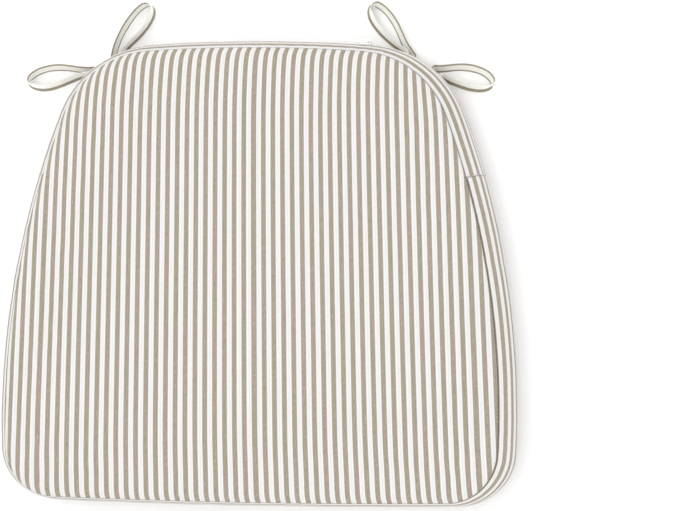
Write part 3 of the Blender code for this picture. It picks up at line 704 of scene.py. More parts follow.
# Routes of each tape's middle line in plan, millimetres, from one end near the lower seam round
# the loop to the other end, as in the CAD model.
TIE_ROUTES = {
    "tie_right_inner": [
        (117.2, 170.6), (113.8, 175.6), (109.8, 181.2), (106.3, 188.4), (103.0, 195.0), (99.0, 201.2),
        (94.8, 206.2), (90.2, 210.0), (86.2, 211.8), (83.2, 211.0), (81.4, 208.2), (81.4, 204.3),
        (83.0, 199.8), (86.2, 195.0), (90.2, 190.4), (94.9, 186.0), (100.0, 181.8), (105.6, 177.8),
        (111.0, 173.8)],
    "tie_right_outer": [
        (133.2, 161.6), (137.4, 161.6), (142.6, 161.8), (148.7, 162.5), (154.8, 162.9), (161.0, 162.6),
        (167.2, 161.5), (173.2, 159.4), (177.8, 156.6), (180.8, 153.4), (181.6, 150.6), (180.0, 148.2),
        (176.4, 146.7), (172.0, 146.1), (167.2, 146.4), (161.8, 147.4), (156.0, 149.2), (149.5, 151.5),
        (144.6, 153.6), (139.6, 155.8)],
    "tie_left_inner": [
        (-129.6, 162.0), (-129.6, 168.0), (-128.3, 174.8), (-126.2, 181.4), (-123.4, 187.7),
        (-120.2, 193.6), (-116.6, 199.0), (-112.8, 203.9), (-108.7, 208.1), (-104.9, 210.9),
        (-101.5, 212.0), (-98.8, 211.0), (-97.2, 208.4), (-97.3, 204.8), (-98.8, 200.5),
        (-101.4, 195.9), (-105.0, 191.2), (-109.2, 186.8), (-113.9, 182.4), (-118.8, 177.6),
        (-122.6, 172.2), (-124.9, 165.6)],
    "tie_left_outer": [
        (-134.0, 158.6), (-139.5, 159.9), (-145.3, 160.2), (-151.4, 160.1), (-157.8, 160.6),
        (-165.0, 161.6), (-172.0, 162.2), (-178.5, 162.0), (-184.7, 161.0), (-190.4, 159.2),
        (-195.2, 156.7), (-198.6, 153.6), (-199.7, 150.8), (-198.1, 148.4), (-194.5, 146.7),
        (-189.5, 145.9), (-183.8, 146.1), (-178.0, 147.4), (-171.8, 149.5), (-165.0, 152.3),
        (-158.0, 154.8), (-151.0, 156.4), (-144.5, 156.4), (-138.6, 155.0)],
}
# Direction across each tape, from its lower edge to its upper one.
TIE_LEAN = {
    "tie_right_inner": (5.9, 3.0, 6.1),
    "tie_right_outer": (4.8, 4.7, 6.0),
    "tie_left_inner": (-1.4, 2.7, 8.5),
    "tie_left_outer": (1.2, 4.8, 7.5),
}


def smooth_route(points, per_span):
    """Points of a Catmull-Rom curve through the given points."""
    points = np.asarray(points, float)
    padded = np.concatenate([[points[0] * 2 - points[1]], points, [points[-1] * 2 - points[-2]]])
    route = []
    for a, b, c, d in zip(padded, padded[1:], padded[2:], padded[3:]):
        for i in range(per_span):
            t = i / per_span
            route.append((2 * b + (c - a) * t + (2 * a - 5 * b + 4 * c - d) * t * t
                          + (3 * b - a - 3 * c + d) * t ** 3) / 2)
    return np.array(route + [points[-1]])


def nearest_seam(point):
    """Outward direction of the seam point that is nearest to a plan point."""
    angles = whole_turn(0.5 * MM)
    return angles[np.argmin(np.linalg.norm(rim(angles) - point, axis=1))]


def tape_frames(route, lean, roots):
    """Centre line of a tape, with unit directions across its width and through its thickness.

    The tape lies flat in the lower seam at both roots, then turns to stand on its lower edge.
    """
    along = frames_along(at_height(route, 0.0))
    standing = lean - along * (along @ lean)[:, None]
    standing /= np.linalg.norm(standing, axis=1)[:, None]
    run = np.concatenate([[0.0], np.linalg.norm(np.diff(route, axis=0), axis=1).cumsum()])
    height = TIE_CLEARANCE + standing[:, 2] * TIE_WIDTH / 2 + TIE_THICKNESS / 2
    across = standing.copy()
    for start, root, level in ((0.0, roots[0], TIE_ROOT_LEVEL), (run[-1], roots[1], -TIE_ROOT_LEVEL)):
        t = np.clip(np.abs(run - start) / TIE_TWIST_LENGTH, 0.0, 1.0)
        t = (t * t * (3 - 2 * t))[:, None]
        seam_way = np.array([-math.sin(root), math.cos(root), 0.0])
        seam_way *= np.sign((standing * seam_way).sum(1).mean()) or 1.0
        across = across * t + seam_way * (1 - t)
        height = height * t[:, 0] + (LOWER_SEAM_Z + level) * (1 - t[:, 0])
    centre = at_height(route, height)
    along = frames_along(centre)
    across -= along * (across * along).sum(1)[:, None]
    across /= np.linalg.norm(across, axis=1)[:, None]
    return centre, across, np.cross(along, across)


def tape_section():
    """Section (across, through) of a folded tape: rounded fold, pressed middle, open edge."""
    half, thick = TIE_WIDTH / 2, TIE_THICKNESS / 2
    face = np.array([-0.97, -0.88, -0.72, -0.5, -0.25, 0.0, 0.25, 0.5, 0.72, 0.88, 0.97])
    # The tape is thickest beside its fold and its stitched edge.
    plump = thick * np.array([0.72, 0.98, 1.0, 0.92, 0.88, 0.88, 0.90, 0.92, 0.80, 0.98, 0.70])
    upper = np.stack([face * half, plump], axis=1)
    lower = np.stack([face[::-1] * half, -plump[::-1]], axis=1)
    return np.concatenate([upper, [[half, 0.0]], lower, [[-half, 0.0]]])


def loop_inside(centre, through):
    """1 if the through direction points into the loop, -1 if it points out."""
    middle = centre.mean(0)
    return 1.0 if ((middle - centre) * through).sum() > 0 else -1.0


def make_tie(name):
    """One tie: a loop of folded tape with a row of stitches along its open edge."""
    points = np.array(TIE_ROUTES[name]) * MM
    roots = [nearest_seam(points[0]), nearest_seam(points[-1])]
    inside = [[rim(root, inset) for inset in (4.0 * MM, 0.5 * MM)] for root in roots]
    route = np.concatenate([inside[0], points, inside[1][::-1]])
    route = resample(smooth_route(route, 8), 1.2 * MM)
    centre, across, through = tape_frames(route, np.array(TIE_LEAN[name]), roots)
    section = tape_section()
    turn = 2 * math.pi * np.arange(len(centre)) / len(centre)
    flutter = 1.0 + 0.02 * np.sin(7 * turn) + 0.015 * np.sin(17 * turn + 1.0)
    grid = (centre[:, None] + across[:, None] * section[None, :, :1] * flutter[:, None, None]
            + through[:, None] * section[None, :, 1:])
    count = len(section)
    faces = grid_faces(len(centre), count, closed=True) + end_caps(len(centre), count)
    made = put(look_name(name), grid, faces)
    face_outward(made)
    run = np.linspace(0.0, line_length(centre), len(centre))
    inward = loop_inside(centre, through)
    mark_cloth(made, section[:, 0] / MM, run[:, None] / MM, np.sign(section[:, 1]) * inward)
    stand_for(made, name, TIE_MATERIAL)
    subdivide(made)
    facing = through * inward
    sewn_line = centre + across * TIE_WIDTH * 0.36 + facing * TIE_THICKNESS * 0.46
    outside = slice(8, -8)                      # not the ends in the seam
    sewn = stitches(name + "_stitching", sewn_line[outside], facing[outside], TIE_STITCH, TIE_STITCH_GAP,
                    TIE_STITCH_RADIUS)
    dress(sewn, THREAD_MATERIAL)


for tie_name in TIE_ROUTES:
    make_tie(tie_name)


# ---------------------------------------------------------------- cover: top and bottom panels

def quarter_roll(width, rise, steps):
    """Insets, heights and lengths of cloth along a quarter ellipse, from the seam inwards."""
    turn = np.linspace(0, math.pi / 2, steps + 1)
    inset, z = width * (1 - np.cos(turn)), rise * np.sin(turn)
    cloth = np.concatenate([[0.0], np.hypot(np.diff(inset), np.diff(z)).cumsum()])
    return inset, z, cloth


def field_points(edge_inset):
    """Hexagonal grid of plan points that lie well inside the outline."""
    edge = rim(whole_turn(), edge_inset)
    low, high = edge.min(0), edge.max(0)
    row_spacing = FIELD_SPACING * 0.866
    points = []
    for i in range(int((high[1] - low[1]) / row_spacing) + 1):
        y = low[1] + i * row_spacing
        x = np.arange(low[0] + (i % 2) * FIELD_SPACING / 2, high[0], FIELD_SPACING)
        points.append(np.stack([x, np.full(len(x), y)], axis=1))
    points = np.concatenate(points)
    keep = inside_outline(points, edge) & (edge_distance(points, edge) > FIELD_SPACING * 0.55)
    return points[keep]


def edge_distance(points, edge):
    return np.array([np.linalg.norm(edge - p, axis=1).min() for p in points])


def inside_outline(points, edge):
    """Whether each plan point is inside a closed convex outline."""
    ahead = np.roll(edge, -1, axis=0) - edge
    away = points[:, None] - edge[None]
    return (ahead[None, :, 0] * away[..., 1] - ahead[None, :, 1] * away[..., 0] > 0).all(1)


def fill_field(ring, first, field, field_first):
    """Triangles between a closed ring of plan points and the points inside it."""
    plan = [Vector(p) for p in ring] + [Vector(p) for p in field]
    count = len(ring)
    edges = [(i, (i + 1) % count) for i in range(count)]
    _, _, faces, sources, _, _ = delaunay_2d_cdt(plan, edges, [], 1, 1e-9)
    made = []
    for face in faces:
        ids = [sources[i][0] for i in face]
        made.append(tuple(first + i if i < count else field_first + i - count for i in ids))
    return made


def make_panel(name, edge_z, direction, roll, level, crown):
    """Panel with a rolled edge, turned in at the seam. direction is 1 for the top, -1 below.

    Returns it with the directions of its columns and the points that the seam holds.
    """
    angles = whole_turn()
    count = len(angles)
    width, rise, _ = roll
    insets, heights, _ = quarter_roll(*roll)
    # Two more rings inside the rolled edge lead over to the loose points of the middle.
    more = width + np.array([4.0, 8.0]) * MM
    insets = np.concatenate([insets, more])
    heights = np.concatenate([heights, level(more) - level(width) + rise])
    rows = [at_height(rim(angles, inset), edge_z + direction * (z + SEAM_GAP))
            for inset, z in TURNED_EDGE + list(zip(insets, heights))]
    ring = rim(angles, insets[-1])
    field = field_points(insets[-1])
    depth = insets[-1] + edge_distance(field, ring)
    field_z = edge_z + direction * (SEAM_GAP + rise + level(depth) - level(width) + crown(field))
    points = np.concatenate([np.concatenate(rows), at_height(field, field_z)])
    faces = grid_faces(len(rows), count, closed=True)
    faces += fill_field(ring, (len(rows) - 1) * count, field, len(rows) * count)
    if direction < 0:
        faces = [face[::-1] for face in faces]
    made = put(look_name(name), points, faces)
    stand_for(made, name, CLOTH_MATERIAL)
    return made, angles, list(range((len(TURNED_EDGE) + 1) * count))


def finish_panel(made, roll, cloth_at, ease=0.0, drag=0.0):
    """Smooth the panel, mark where each point lies in the flat cloth and give it thickness.

    ease is how much extra cloth is gathered into the seam at the rear corners. drag is how far
    the cloth was pulled to the right along the rear seam, most of all on its left half.
    """
    subdivide(made)
    finalise(made)
    width = roll[0]
    insets, _, lengths = quarter_roll(*roll)
    angles = whole_turn(1.0 * MM)
    seam = rim(angles)
    tree = KDTree(len(seam))
    for i, (x, y) in enumerate(seam):
        tree.insert((x, y, 0.0), i)
    tree.balance()
    points = positions(made)
    nearest = [tree.find((x, y, 0.0))[1] for x, y, _ in points]
    way = angles[nearest]
    out = outward(way)[:, :2]
    depth = ((seam[nearest] - points[:, :2]) * out).sum(1)
    fading = np.maximum(depth, 0.0) / EASE_DEPTH
    # Over the rolled edge there is more cloth than the plan shows.
    extra = lengths[-1] - np.interp(depth, insets, lengths) - np.clip(width - depth, 0.0, width)
    from_corner = np.abs(way - math.pi / 2) - REAR_CORNER_TURN
    gathered = ease * np.exp(-fading - (from_corner / EASE_TURN) ** 2)
    flat = points[:, :2] + out * (np.maximum(extra, 0.0) + gathered)[:, None]
    flat[:, 0] -= drag * np.exp(-fading - ((way - DRAG_TURN) / EASE_TURN) ** 2)
    from_seam = np.interp(depth, insets, lengths)
    mark_cloth(made, *cloth_at(flat / MM), from_seam / MM)
    thicken(made)


def swell(panel, held, cap):
    """Blow the sheet up as stuffing does, and keep each point within cap of its start."""
    start = positions(panel)
    group = panel.vertex_groups.new(name="held")
    group.add(held, 1.0, "REPLACE")
    cloth = panel.modifiers.new("swell", "CLOTH")
    settings = cloth.settings
    settings.quality = 5
    settings.mass = 0.3
    settings.tension_stiffness = 25.0
    settings.compression_stiffness = 25.0
    settings.shear_stiffness = 10.0
    settings.bending_stiffness = 2.0
    settings.use_pressure = True
    settings.uniform_pressure_force = 4.0
    settings.vertex_group_mass = "held"
    settings.effector_weights.gravity = 0.0
    cloth.collision_settings.use_collision = False
    for number in range(1, SWELL_FRAMES + 1):
        bpy.context.scene.frame_set(number)
    shaped = panel.evaluated_get(bpy.context.evaluated_depsgraph_get()).to_mesh()
    moved = np.zeros(len(start) * 3)
    shaped.vertices.foreach_get("co", moved)
    panel.modifiers.remove(cloth)
    bpy.context.scene.frame_set(1)
    move = moved.reshape(-1, 3) - start
    size = np.linalg.norm(move, axis=1)[:, None]
    set_positions(panel, start + move * cap / (cap + size))


def flat_level(values):
    """No rise anywhere, for a panel or a block that stays flat."""
    return np.zeros(np.shape(values)[:1])


def top_level(depth):
    """Rise of the top panel with the distance in from the seam, after its rolled edge."""
    return TOP_RISE * (1 - np.exp(-np.maximum(depth - TOP_ROLL_WIDTH, 0.0) / TOP_RISE_WIDTH))


def crown_at(field, height, half_width, half_depth):
    """Low crown: this high in the middle, nothing at half_width and half_depth."""
    x, y = field[:, 0], field[:, 1]
    return height * np.clip(1 - (x / half_width) ** 2, 0, 1) * np.clip(1 - (y / half_depth) ** 2, 0, 1)


def top_crown(field):
    """Low crown and a few shallow dents in the filling."""
    x, y = field[:, 0], field[:, 1]
    dents = (np.sin(x / 0.021 + 1.3 * np.sin(y / 0.047)) * np.sin(y / 0.031 + 0.7)
             + 0.7 * np.sin(x / 0.043 - y / 0.029 + 2.0))
    return crown_at(field, 0.6 * MM, 0.19, 0.17) + 0.10 * MM * dents


def top_cloth(flat):
    """Stripes of the top panel run front to rear and close in a little towards the rear."""
    x, y = flat[:, 0], flat[:, 1] + STRIPE_ORIGIN
    number = (x + STRIPE_LEAN * y) / STRIPE_PITCH * (1 + STRIPE_NARROWING * y) - STRIPE_SHIFT
    return number * STRIPE_PITCH, y


def bottom_cloth(flat):
    """Stripes of the bottom panel run straight."""
    return flat[:, 0] + BOTTOM_STRIPE_SHIFT, flat[:, 1]


def pucker(made, angles, rows, waves, phase, size, fade, upward=0.8):
    """Small uneven gathers where the panel is sewn, dying out away from the seam."""
    points = positions(made)
    count = len(angles)
    seam = len(TURNED_EDGE) * count
    wave = ripple(angles, waves, phase)
    out = outward(angles)
    for row in range(rows):
        first = seam + row * count
        run = np.linalg.norm(points[first:first + count] - points[seam:seam + count], axis=1)
        lift = size * wave * np.exp(-run / fade) * min(1.0, row / 2)
        points[first:first + count] += out * lift[:, None] * 0.6
        points[first:first + count, 2] += upward * lift
    set_positions(made, points)


def make_top_panel():
    roll = (TOP_ROLL_WIDTH, TOP_ROLL, 6)
    made, angles, held = make_panel("top_panel", UPPER_SEAM_Z, 1, roll, top_level, top_crown)
    swell(made, held, TOP_CAP)
    pucker(made, angles, rows=8, waves=118, phase=0.4, size=0.30 * MM, fade=8.0 * MM)
    finish_panel(made, roll, top_cloth, ease=4.0 * MM, drag=3.5 * MM)


def make_bottom_panel():
    roll = (BOTTOM_ROLL_WIDTH, LOWER_SEAM_Z - SEAM_GAP, 5)
    made, angles, _ = make_panel("bottom_panel", LOWER_SEAM_Z, -1, roll, flat_level, flat_level)
    pucker(made, angles, rows=4, waves=110, phase=2.0, size=0.15 * MM, fade=5.0 * MM, upward=0.0)
    finish_panel(made, roll, bottom_cloth)


make_top_panel()
make_bottom_panel()


# ---------------------------------------------------------------- cover: side bands

def bulge_at(angles):
    """How far the band swells out where the outline faces this way."""
    end = np.where(np.sin(angles) > 0, REAR_BULGE, FRONT_BULGE)
    return SIDE_BULGE * np.cos(angles) ** 2 + end * np.sin(angles) ** 2


def band_offset(z, angles=math.pi / 2):
    """How far the band stands out of the seam line at height z."""
    bulge = bulge_at(angles)
    half = (UPPER_SEAM_Z - LOWER_SEAM_Z) / 2
    radius = (half * half + bulge * bulge) / (2 * bulge)
    return np.sqrt(radius * radius - (z - BAND_MID_Z) ** 2) - (radius - bulge)


def band_rows(angles, low, high, turned_low, turned_high, fold_low, fold_high):
    """Rows (inset, z) from the bottom of a band up, with one number for each column.

    Turned edges go into a seam. Fold edges are folded back behind the band.
    """
    z = low + (high - low) * np.linspace(0, 1, 15)[:, None]
    rows = list(zip(-band_offset(z, angles), z))
    zero = np.zeros_like(low)
    if turned_low:
        rows = [(zero + inset, low + rise) for inset, rise in TURNED_EDGE] + rows
    if turned_high:
        rows += [(zero + inset, high - drop) for inset, drop in TURNED_EDGE[::-1]]
    if fold_low:
        rows = [(inset - band_offset(low + rise, angles), low + rise)
                for inset, rise in FOLDED_EDGE] + rows[1:]
    if fold_high:
        rows = rows[:-1] + [(inset - band_offset(high - drop, angles), high - drop)
                            for inset, drop in FOLDED_EDGE[::-1]]
    return rows


def seam_distance(rows, edges):
    """How far each point of a band is from the nearer sewn edge, for the shade of the crease."""
    inset, z = np.array(rows).swapaxes(0, 1)
    away = np.full(z.shape, 20.0 * MM)
    if edges[0]:
        away = np.minimum(away, np.maximum(z - LOWER_SEAM_Z - SEAM_GAP, 0.0))
    if edges[1]:
        away = np.minimum(away, np.maximum(UPPER_SEAM_Z - SEAM_GAP - z, 0.0))
    return np.where(inset > 0.5 * MM, 0.0, away)


def band_fade(distance):
    """Strength of the gathers at this distance from a seam: none in it, most just beside it."""
    return np.exp(-distance / BAND_PUCKER_FADE) * np.clip(distance / (1.5 * MM), 0, 1)


def make_band(name, angles, low, high, edges, first_beige):
    """Striped band round part of the outline, between the heights low and high.

    edges says whether the low and the high edge are turned into a seam, then whether each is
    folded back. first_beige is where the first beige stripe's middle is.
    """
    low = np.broadcast_to(low, angles.shape)
    high = np.broadcast_to(high, angles.shape)
    rows = band_rows(angles, low, high, *edges)
    upper_wave = ripple(angles, 118, 0.4) + 0.4 * ripple(angles, 63, 1.9)
    lower_wave = ripple(angles, 104, 2.7) + 0.4 * ripple(angles, 57, 0.6)
    slow = ripple(angles, 17, 1.1)
    points = []
    for inset, z in rows:
        from_top, from_bottom = UPPER_SEAM_Z - z, z - LOWER_SEAM_Z
        lift = BAND_PUCKER * (upper_wave * band_fade(from_top) + lower_wave * band_fade(from_bottom))
        middle = np.clip(from_top / BAND_WAVE_FADE, 0, 1) * np.clip(from_bottom / BAND_WAVE_FADE, 0, 1)
        lift = np.where(inset > 1.0 * MM, 0.0, lift + BAND_WAVE * slow * middle)
        points.append(at_height(rim(angles, inset - lift), z))
    points = np.array(points)
    drop = np.linalg.norm(np.diff(points[::-1], axis=0), axis=2)
    run = np.concatenate([np.zeros((1, len(angles))), drop.cumsum(0)])[::-1]
    turned_rows = len(TURNED_EDGE) if edges[1] else 0
    run = run - run[len(rows) - 1 - turned_rows]
    made = put(look_name(name), points, grid_faces(len(rows), len(angles)))
    mark_cloth(made, run / MM - first_beige, run_at(angles) / MM, seam_distance(rows, edges) / MM)
    stand_for(made, name, CLOTH_MATERIAL)
    subdivide(made)
    thicken(made)


def zip_opening(angles):
    """Half height of the opening in the rear band at these places."""
    past = (ZIP_HALF_WINDOW + ZIP_END_TAPER - np.abs(rim(angles)[:, 0])) / ZIP_END_TAPER
    closed = 0.15 * MM
    return closed + (ZIP_HALF_HEIGHT - closed) * np.clip(past, 0, 1)


def band_distance(z):
    """Length of band cloth from the upper seam down to height z."""
    steps = np.linspace(z, UPPER_SEAM_Z - SEAM_GAP, 60)
    return float(np.hypot(np.diff(steps), np.diff(band_offset(steps))).sum())


def make_bands():
    """Front band and the two strips of the rear band, one above and one below the zip."""
    low, high = LOWER_SEAM_Z + SEAM_GAP, UPPER_SEAM_Z - SEAM_GAP
    join = BAND_JOIN_ANGLE - BAND_JOIN_GAP
    front = spread(math.pi - join, 2 * math.pi + join)
    make_band("front_band", front, low, high, (True, True, False, False), FRONT_BAND_STRIPE)
    rear = spread(BAND_JOIN_ANGLE, math.pi - BAND_JOIN_ANGLE)
    ends = [side * (ZIP_HALF_WINDOW + more) for side in (-1, 1) for more in (0.0, ZIP_END_TAPER)]
    rear = np.sort(np.concatenate([rear, rear_angle(ends)]))
    opening = zip_opening(rear)
    make_band("rear_band_upper", rear, BAND_MID_Z + opening, high, (False, True, True, False),
              REAR_BAND_STRIPE)
    # The lower strip's stripes carry on down from the opening.
    make_band("rear_band_lower", rear, low, BAND_MID_Z - opening, (True, False, False, True),
              LOWER_STRIP_STRIPE - band_distance(BAND_MID_Z) / MM)


make_bands()


# ---------------------------------------------------------------- filling

def make_slab(name, profile, material, bumps):
    """Closed body from rings (inset, z), its top and bottom filled with evenly spaced points."""
    angles = whole_turn(4.0 * MM)
    count = len(angles)
    rows = [at_height(rim(angles, inset), z) for inset, z in profile]
    parts = [np.concatenate(rows)]
    faces = grid_faces(len(rows), count, closed=True)
    first = len(rows) * count
    for row, flip in ((0, True), (len(rows) - 1, False)):
        inset, z = profile[row]
        field = field_points(inset)
        capped = fill_field(rim(angles, inset), row * count, field, first)
        faces += [face[::-1] for face in capped] if flip else capped
        parts.append(at_height(field, z + bumps(field)))
        first += len(field)
    made = put(look_name(name), np.concatenate(parts), faces)
    stand_for(made, name, material)


def rounded_profile(low, high, inset, corner):
    """Side of a block with rounded edges, from the bottom face to the top face."""
    turns = np.linspace(0, math.pi / 2, 5)
    below = [(inset + corner * (1 - math.sin(t)), low + corner * (1 - math.cos(t))) for t in turns]
    above = [(inset + corner * (1 - math.cos(t)), high - corner * (1 - math.sin(t))) for t in turns]
    return below + above


def wadding_crown(field):
    return crown_at(field, 1.6 * MM, 0.2, 0.18)


def make_filling():
    """Foam block with a layer of wadding above it and one below."""
    low, high = (corner.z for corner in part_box("foam_core"))
    profile = rounded_profile(low, high, inset=2.6 * MM, corner=3.0 * MM)
    make_slab("foam_core", profile, FOAM_MATERIAL, flat_level)
    low, high = (corner.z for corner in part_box("fibre_wrap_top"))
    profile = rounded_profile(low, high - 3.0 * MM, inset=9.0 * MM, corner=2.0 * MM)
    make_slab("fibre_wrap_top", profile, FIBRE_MATERIAL, wadding_crown)
    low, high = (corner.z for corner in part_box("fibre_wrap_bottom"))
    profile = rounded_profile(low, high, inset=9.0 * MM, corner=0.45 * (high - low))
    make_slab("fibre_wrap_bottom", profile, FIBRE_MATERIAL, flat_level)


make_filling()


# ---------------------------------------------------------------- zip

def make_zip_tapes():
    """Two ribbed tapes behind the folded edges of the opening."""
    low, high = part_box("zip_tape_upper")
    angles = rear_span((high.x - low.x) / 2, 2.0 * MM)
    columns, ribs = 15, 6
    share = np.linspace(0, 1, columns)
    width = (high.z - BAND_MID_Z - ZIP_TAPE_NEAR) * share
    rib = 0.05 * MM * np.cos(2 * math.pi * ribs * share)
    for side, label in STRIPS:
        z = BAND_MID_Z + side * (ZIP_TAPE_NEAR + width)
        inset = ZIP_TAPE_INSET - band_offset(z) - rib
        rows = np.array([at_height(rim(angles, inset[j]), z[j]) for j in range(columns)])
        faces = grid_faces(columns, len(angles))
        if side < 0:
            faces = [face[::-1] for face in faces]
        made = put(look_name("zip_tape_" + label), rows, faces)
        mark_cloth(made, width[:, None] / MM, run_at(angles) / MM)
        stand_for(made, "zip_tape_" + label, TAPE_MATERIAL)
        thicken(made, ZIP_TAPE_THICKNESS)


def make_coils():
    """Each coil is one nylon filament wound in flat turns along its tape's edge."""
    turns = round(2 * COIL_HALF_LENGTH / COIL_PITCH)
    per_turn = 12
    x = np.linspace(COIL_HALF_LENGTH, -COIL_HALF_LENGTH, turns * per_turn + 1)
    angles = rear_angle(x)
    swing = 2 * math.pi * np.arange(len(x)) / per_turn
    for side, label in STRIPS:
        phase = 0.0 if side > 0 else math.pi
        depth = COIL_INSET + COIL_HALF_DEPTH * np.sin(swing + phase)
        z = BAND_MID_Z + side * (COIL_OFFSET + COIL_HALF_HEIGHT * np.cos(swing + phase))
        path = at_height(rim(angles, depth), z)
        leaning = outward(angles) + np.array([0.0, 0.0, 0.3])
        made = strands(look_name("zip_coil_" + label), [(path, leaning)], COIL_WIRE)
        stand_for(made, "zip_coil_" + label, NYLON_MATERIAL)


def bevel(made, width=0.18 * MM):
    """Round off the sharp edges."""
    step = made.modifiers.new("bevel", "BEVEL")
    step.width = width
    step.segments = 2
    step.limit_method = "ANGLE"
    step.angle_limit = math.radians(35)


def prism(outline, low, high):
    """Closed body from an (x, z) outline, from y = low to y = high."""
    count = len(outline)
    points = [(x, y, z) for y in (low, high) for x, z in outline]
    faces = [tuple(range(count)), tuple(range(2 * count - 1, count - 1, -1))]
    faces += [(i, count + i, count + (i + 1) % count, (i + 1) % count) for i in range(count)]
    return points, faces


def strap(path, half_width, thickness):
    """Closed bent strip: path is (x, y) points of its middle, half_width is along z."""
    path = np.array(path, float)
    step = np.gradient(path, axis=0)
    normal = np.stack([-step[:, 1], step[:, 0]], axis=1)
    normal /= np.linalg.norm(normal, axis=1)[:, None]
    rows = []
    for point, away in zip(path, normal):
        for face, edge in ((1, 1), (1, -1), (-1, -1), (-1, 1)):
            rows.append((*(point + away * face * thickness / 2), edge * half_width))
    return rows, grid_faces(len(path), 4, closed=True) + end_caps(len(path), 4)


def put_local(name, bodies, place, body="pad"):
    """Object from several closed bodies given in a local frame, placed by a matrix."""
    points, faces = [], []
    for body_points, body_faces in bodies:
        faces += [tuple(i + len(points) for i in face) for face in body_faces]
        points += [tuple(place @ Vector(p)) for p in body_points]
    made = put(name, points, faces, body, smooth=False)
    face_outward(made)
    return made


def slider_place():
    """Frame of the slider: X along the zip, Y out of the pad, Z up."""
    seat = float(rear_angle(ZIP_HALF_TRAVEL))
    chain = rim(seat, COIL_INSET)
    return Matrix.Translation((chain[0], chain[1], BAND_MID_Z)) @ Matrix.Rotation(seat - math.pi / 2, 4, "Z")


def in_metres(points):
    return [(x * MM, y * MM) for x, y in points]


def mirrored_outline(half):
    """Closed outline from its upper half in millimetres, mirrored in z."""
    return in_metres(half + [(x, -z) for x, z in reversed(half)])


def make_slider():
    """Two plates held apart by a neck, with a bridge for the pull."""
    plate = mirrored_outline([(-4.9, 1.9), (-4.6, 2.6), (-3.4, 2.9), (-1.0, 3.1), (1.2, 3.5), (2.6, 3.65),
                              (4.3, 3.5), (4.9, 2.9), (4.7, 1.6), (3.9, 0.7)])
    neck = mirrored_outline([(1.0, 0.08), (1.4, 0.24), (3.3, 0.26), (4.0, 0.2)])
    arch = [(-3.5, 2.0), (-3.5, 3.2), (-3.35, 3.9), (-2.9, 4.35), (-2.2, 4.5), (0.0, 4.5), (2.2, 4.5),
            (2.9, 4.35), (3.35, 3.9), (3.5, 3.2), (3.5, 2.0)]
    outer_plate = prism(plate, 1.08 * MM, 2.12 * MM)
    inner_plate = prism(plate, -2.92 * MM, -1.88 * MM)
    post = prism(neck, -2.0 * MM, 1.2 * MM)
    bridge = strap(in_metres(arch), half_width=0.85 * MM, thickness=0.8 * MM)
    bodies = [outer_plate, inner_plate, post, bridge]
    made = put_local(look_name("zip_slider"), bodies, slider_place(), "slider")
    bevel(made)
    stand_for(made, "zip_slider", METAL_MATERIAL)


def rounded_tab(start, end, half_width, corner):
    """Rounded rectangle outline in (x, z), millimetres in, metres out."""
    right, left, up = end - corner, start + corner, half_width - corner
    outline = []
    for x, z, first in ((right, up, 0), (left, up, 90), (left, -up, 180), (right, -up, 270)):
        for turn in np.radians(first + np.linspace(0, 90, 5)):
            outline.append((x + corner * math.cos(turn), z + corner * math.sin(turn)))
    return in_metres(outline)


def make_pull():
    """Flat pull with a long eye and a shallow recess for the finger on both faces."""
    hinge = Matrix.Translation((1.8 * MM, 2.95 * MM, 0.0))
    place = slider_place() @ hinge
    half, floor, clear = 0.5 * MM, 0.34 * MM, 1.0 * MM
    plate = rounded_tab(-24.0, 0.6, half_width=2.5, corner=1.2)
    eye = rounded_tab(-7.0, -0.6, half_width=1.6, corner=0.6)
    recess = rounded_tab(-22.4, -9.2, half_width=1.55, corner=0.8)
    made = put_local(look_name("zip_pull"), [prism(plate, -half, half)], place, "pull")
    cutters = [prism(eye, -clear, clear), prism(recess, floor, clear), prism(recess, -clear, -floor)]
    cutter = put_local("pull_cutter", cutters, place, "pull")
    cut = made.modifiers.new("eye", "BOOLEAN")
    cut.operation = "DIFFERENCE"
    cut.solver = "EXACT"
    cut.object = cutter
    finalise(made)
    bpy.data.objects.remove(cutter, do_unlink=True)
    bevel(made, 0.12 * MM)
    stand_for(made, "zip_pull", METAL_MATERIAL)


def make_stops():
    """Small clamped metal stops at both ends of the coils."""
    for node in ("zip_top_stop_upper", "zip_top_stop_lower", "zip_bottom_stop"):
        low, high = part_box(node)
        half = (high - low) / 2 / MM
        outline = rounded_tab(-half.x, half.x, half.z, min(half.x, half.z) * 0.45)
        clamp = prism(outline, -0.8 * MM, 0.8 * MM)
        made = put_local(look_name(node), [clamp], Matrix.Translation((low + high) / 2))
        bevel(made, 0.2 * MM)
        stand_for(made, node, METAL_MATERIAL)


make_zip_tapes()
make_coils()
make_slider()
make_pull()
make_stops()


# ---------------------------------------------------------------- sewing thread

def make_seam_stitches():
    """Stitches down in the crease of both long seams."""
    angles = spread(-math.pi / 2, 1.5 * math.pi, 1.0 * MM)
    for node, z in (("upper_seam_thread", UPPER_SEAM_Z), ("lower_seam_thread", LOWER_SEAM_Z)):
        path = at_height(rim(angles, SEAM_STITCH_INSET), z)
        stand_for(stitches(look_name(node), path, outward(angles)), node, THREAD_MATERIAL)


def make_join_stitches():
    """Stitches down both upright seams between the front and rear bands."""
    z = np.linspace(LOWER_SEAM_Z + 2.0 * MM, UPPER_SEAM_Z - 2.0 * MM, 60)
    for label, angle in (("right", BAND_JOIN_ANGLE), ("left", math.pi - BAND_JOIN_ANGLE)):
        path = at_height(rim(angle, -band_offset(z, angle) - STITCH_SEAT), z)
        made = stitches(look_name("band_join_thread_" + label), path, np.tile(outward(angle), (len(z), 1)))
        stand_for(made, "band_join_thread_" + label, THREAD_MATERIAL)


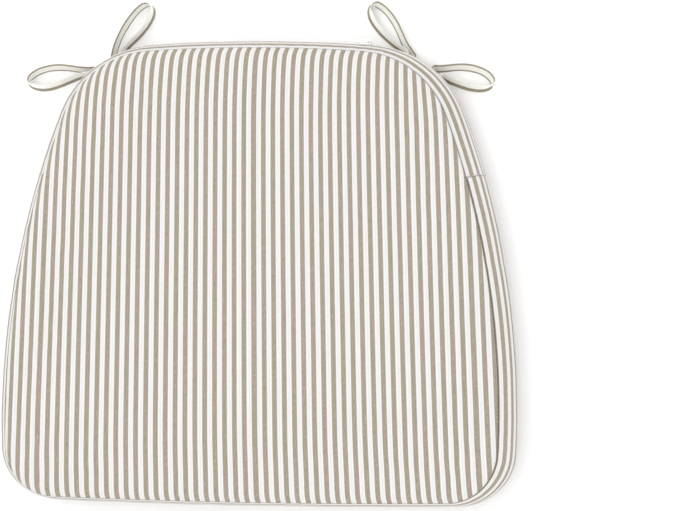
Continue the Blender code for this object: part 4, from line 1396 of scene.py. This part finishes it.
def make_topstitching():
    """One row of stitches along each folded edge of the zip opening."""
    angles = rear_span(ZIP_HALF_WINDOW)
    for side, label in STRIPS:
        z = BAND_MID_Z + side * (ZIP_HALF_HEIGHT + TOPSTITCH_MARGIN)
        path = at_height(rim(angles, -band_offset(z) - STITCH_SEAT), z)
        made = stitches(look_name("zip_topstitch_" + label), path, outward(angles), TOPSTITCH, rise=0.9)
        stand_for(made, "zip_topstitch_" + label, THREAD_MATERIAL)


def make_tacks():
    """Bar tacks: close satin stitches over the lower seam between the ties of each corner."""
    for label in ("right", "left"):
        node = "tie_tack_" + label
        low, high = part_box(node)
        middle = (low + high) / 2
        angle = nearest_seam(np.array(middle)[:2])
        across = np.array([-math.sin(angle), math.cos(angle), 0.0])
        out = outward(angle)
        reach = np.linspace(-TACK_HALF_WIDTH, TACK_HALF_WIDTH, 5)[:, None]
        arch = np.array([-0.15, 0.2, 0.28, 0.2, -0.15])[:, None] * MM
        paths = []
        for z in middle.z + np.linspace(-TACK_HALF_HEIGHT, TACK_HALF_HEIGHT, 13):
            seat = at_height(rim(angle, -band_offset(z, angle)), z)
            paths.append((seat + across * reach + out * arch, np.tile(out, (5, 1))))
        stand_for(strands(look_name(node), paths, TACK_RADIUS), node, TACK_MATERIAL)


make_seam_stitches()
make_join_stitches()
make_topstitching()
make_tacks()


# ---------------------------------------------------------------- floor and light

def make_stage():
    """Wide pale floor just below the pad."""
    floor_mesh = bpy.data.meshes.new("floor")
    bm = bmesh.new()
    bmesh.ops.create_grid(bm, x_segments=1, y_segments=1, size=6.0)
    bm.to_mesh(floor_mesh)
    bm.free()
    floor = bpy.data.objects.new("floor", floor_mesh)
    bpy.context.scene.collection.objects.link(floor)
    floor.location.z = -0.1 * MM
    pale = Shader("floor", 0.9, Specular_IOR_Level=0.2)
    floor_mesh.materials.append(pale.finish((0.95, 0.95, 0.95)))


def make_light():
    world = bpy.data.worlds.new("studio")
    world.use_nodes = True
    background = world.node_tree.nodes["Background"]
    background.inputs["Color"].default_value = (1.0, 1.0, 1.0, 1.0)
    background.inputs["Strength"].default_value = SKY_STRENGTH
    bpy.context.scene.world = world
    for name, place, size, power in LAMPS:
        light = bpy.data.lights.new(name, "AREA")
        light.energy = power
        light.size = size
        lamp = bpy.data.objects.new(name, light)
        bpy.context.scene.collection.objects.link(lamp)
        lamp.location = place
        lamp.rotation_euler = (-Vector(place)).to_track_quat("-Z", "Y").to_euler()
    bpy.context.scene.view_settings.view_transform = "Standard"


make_stage()
make_light()
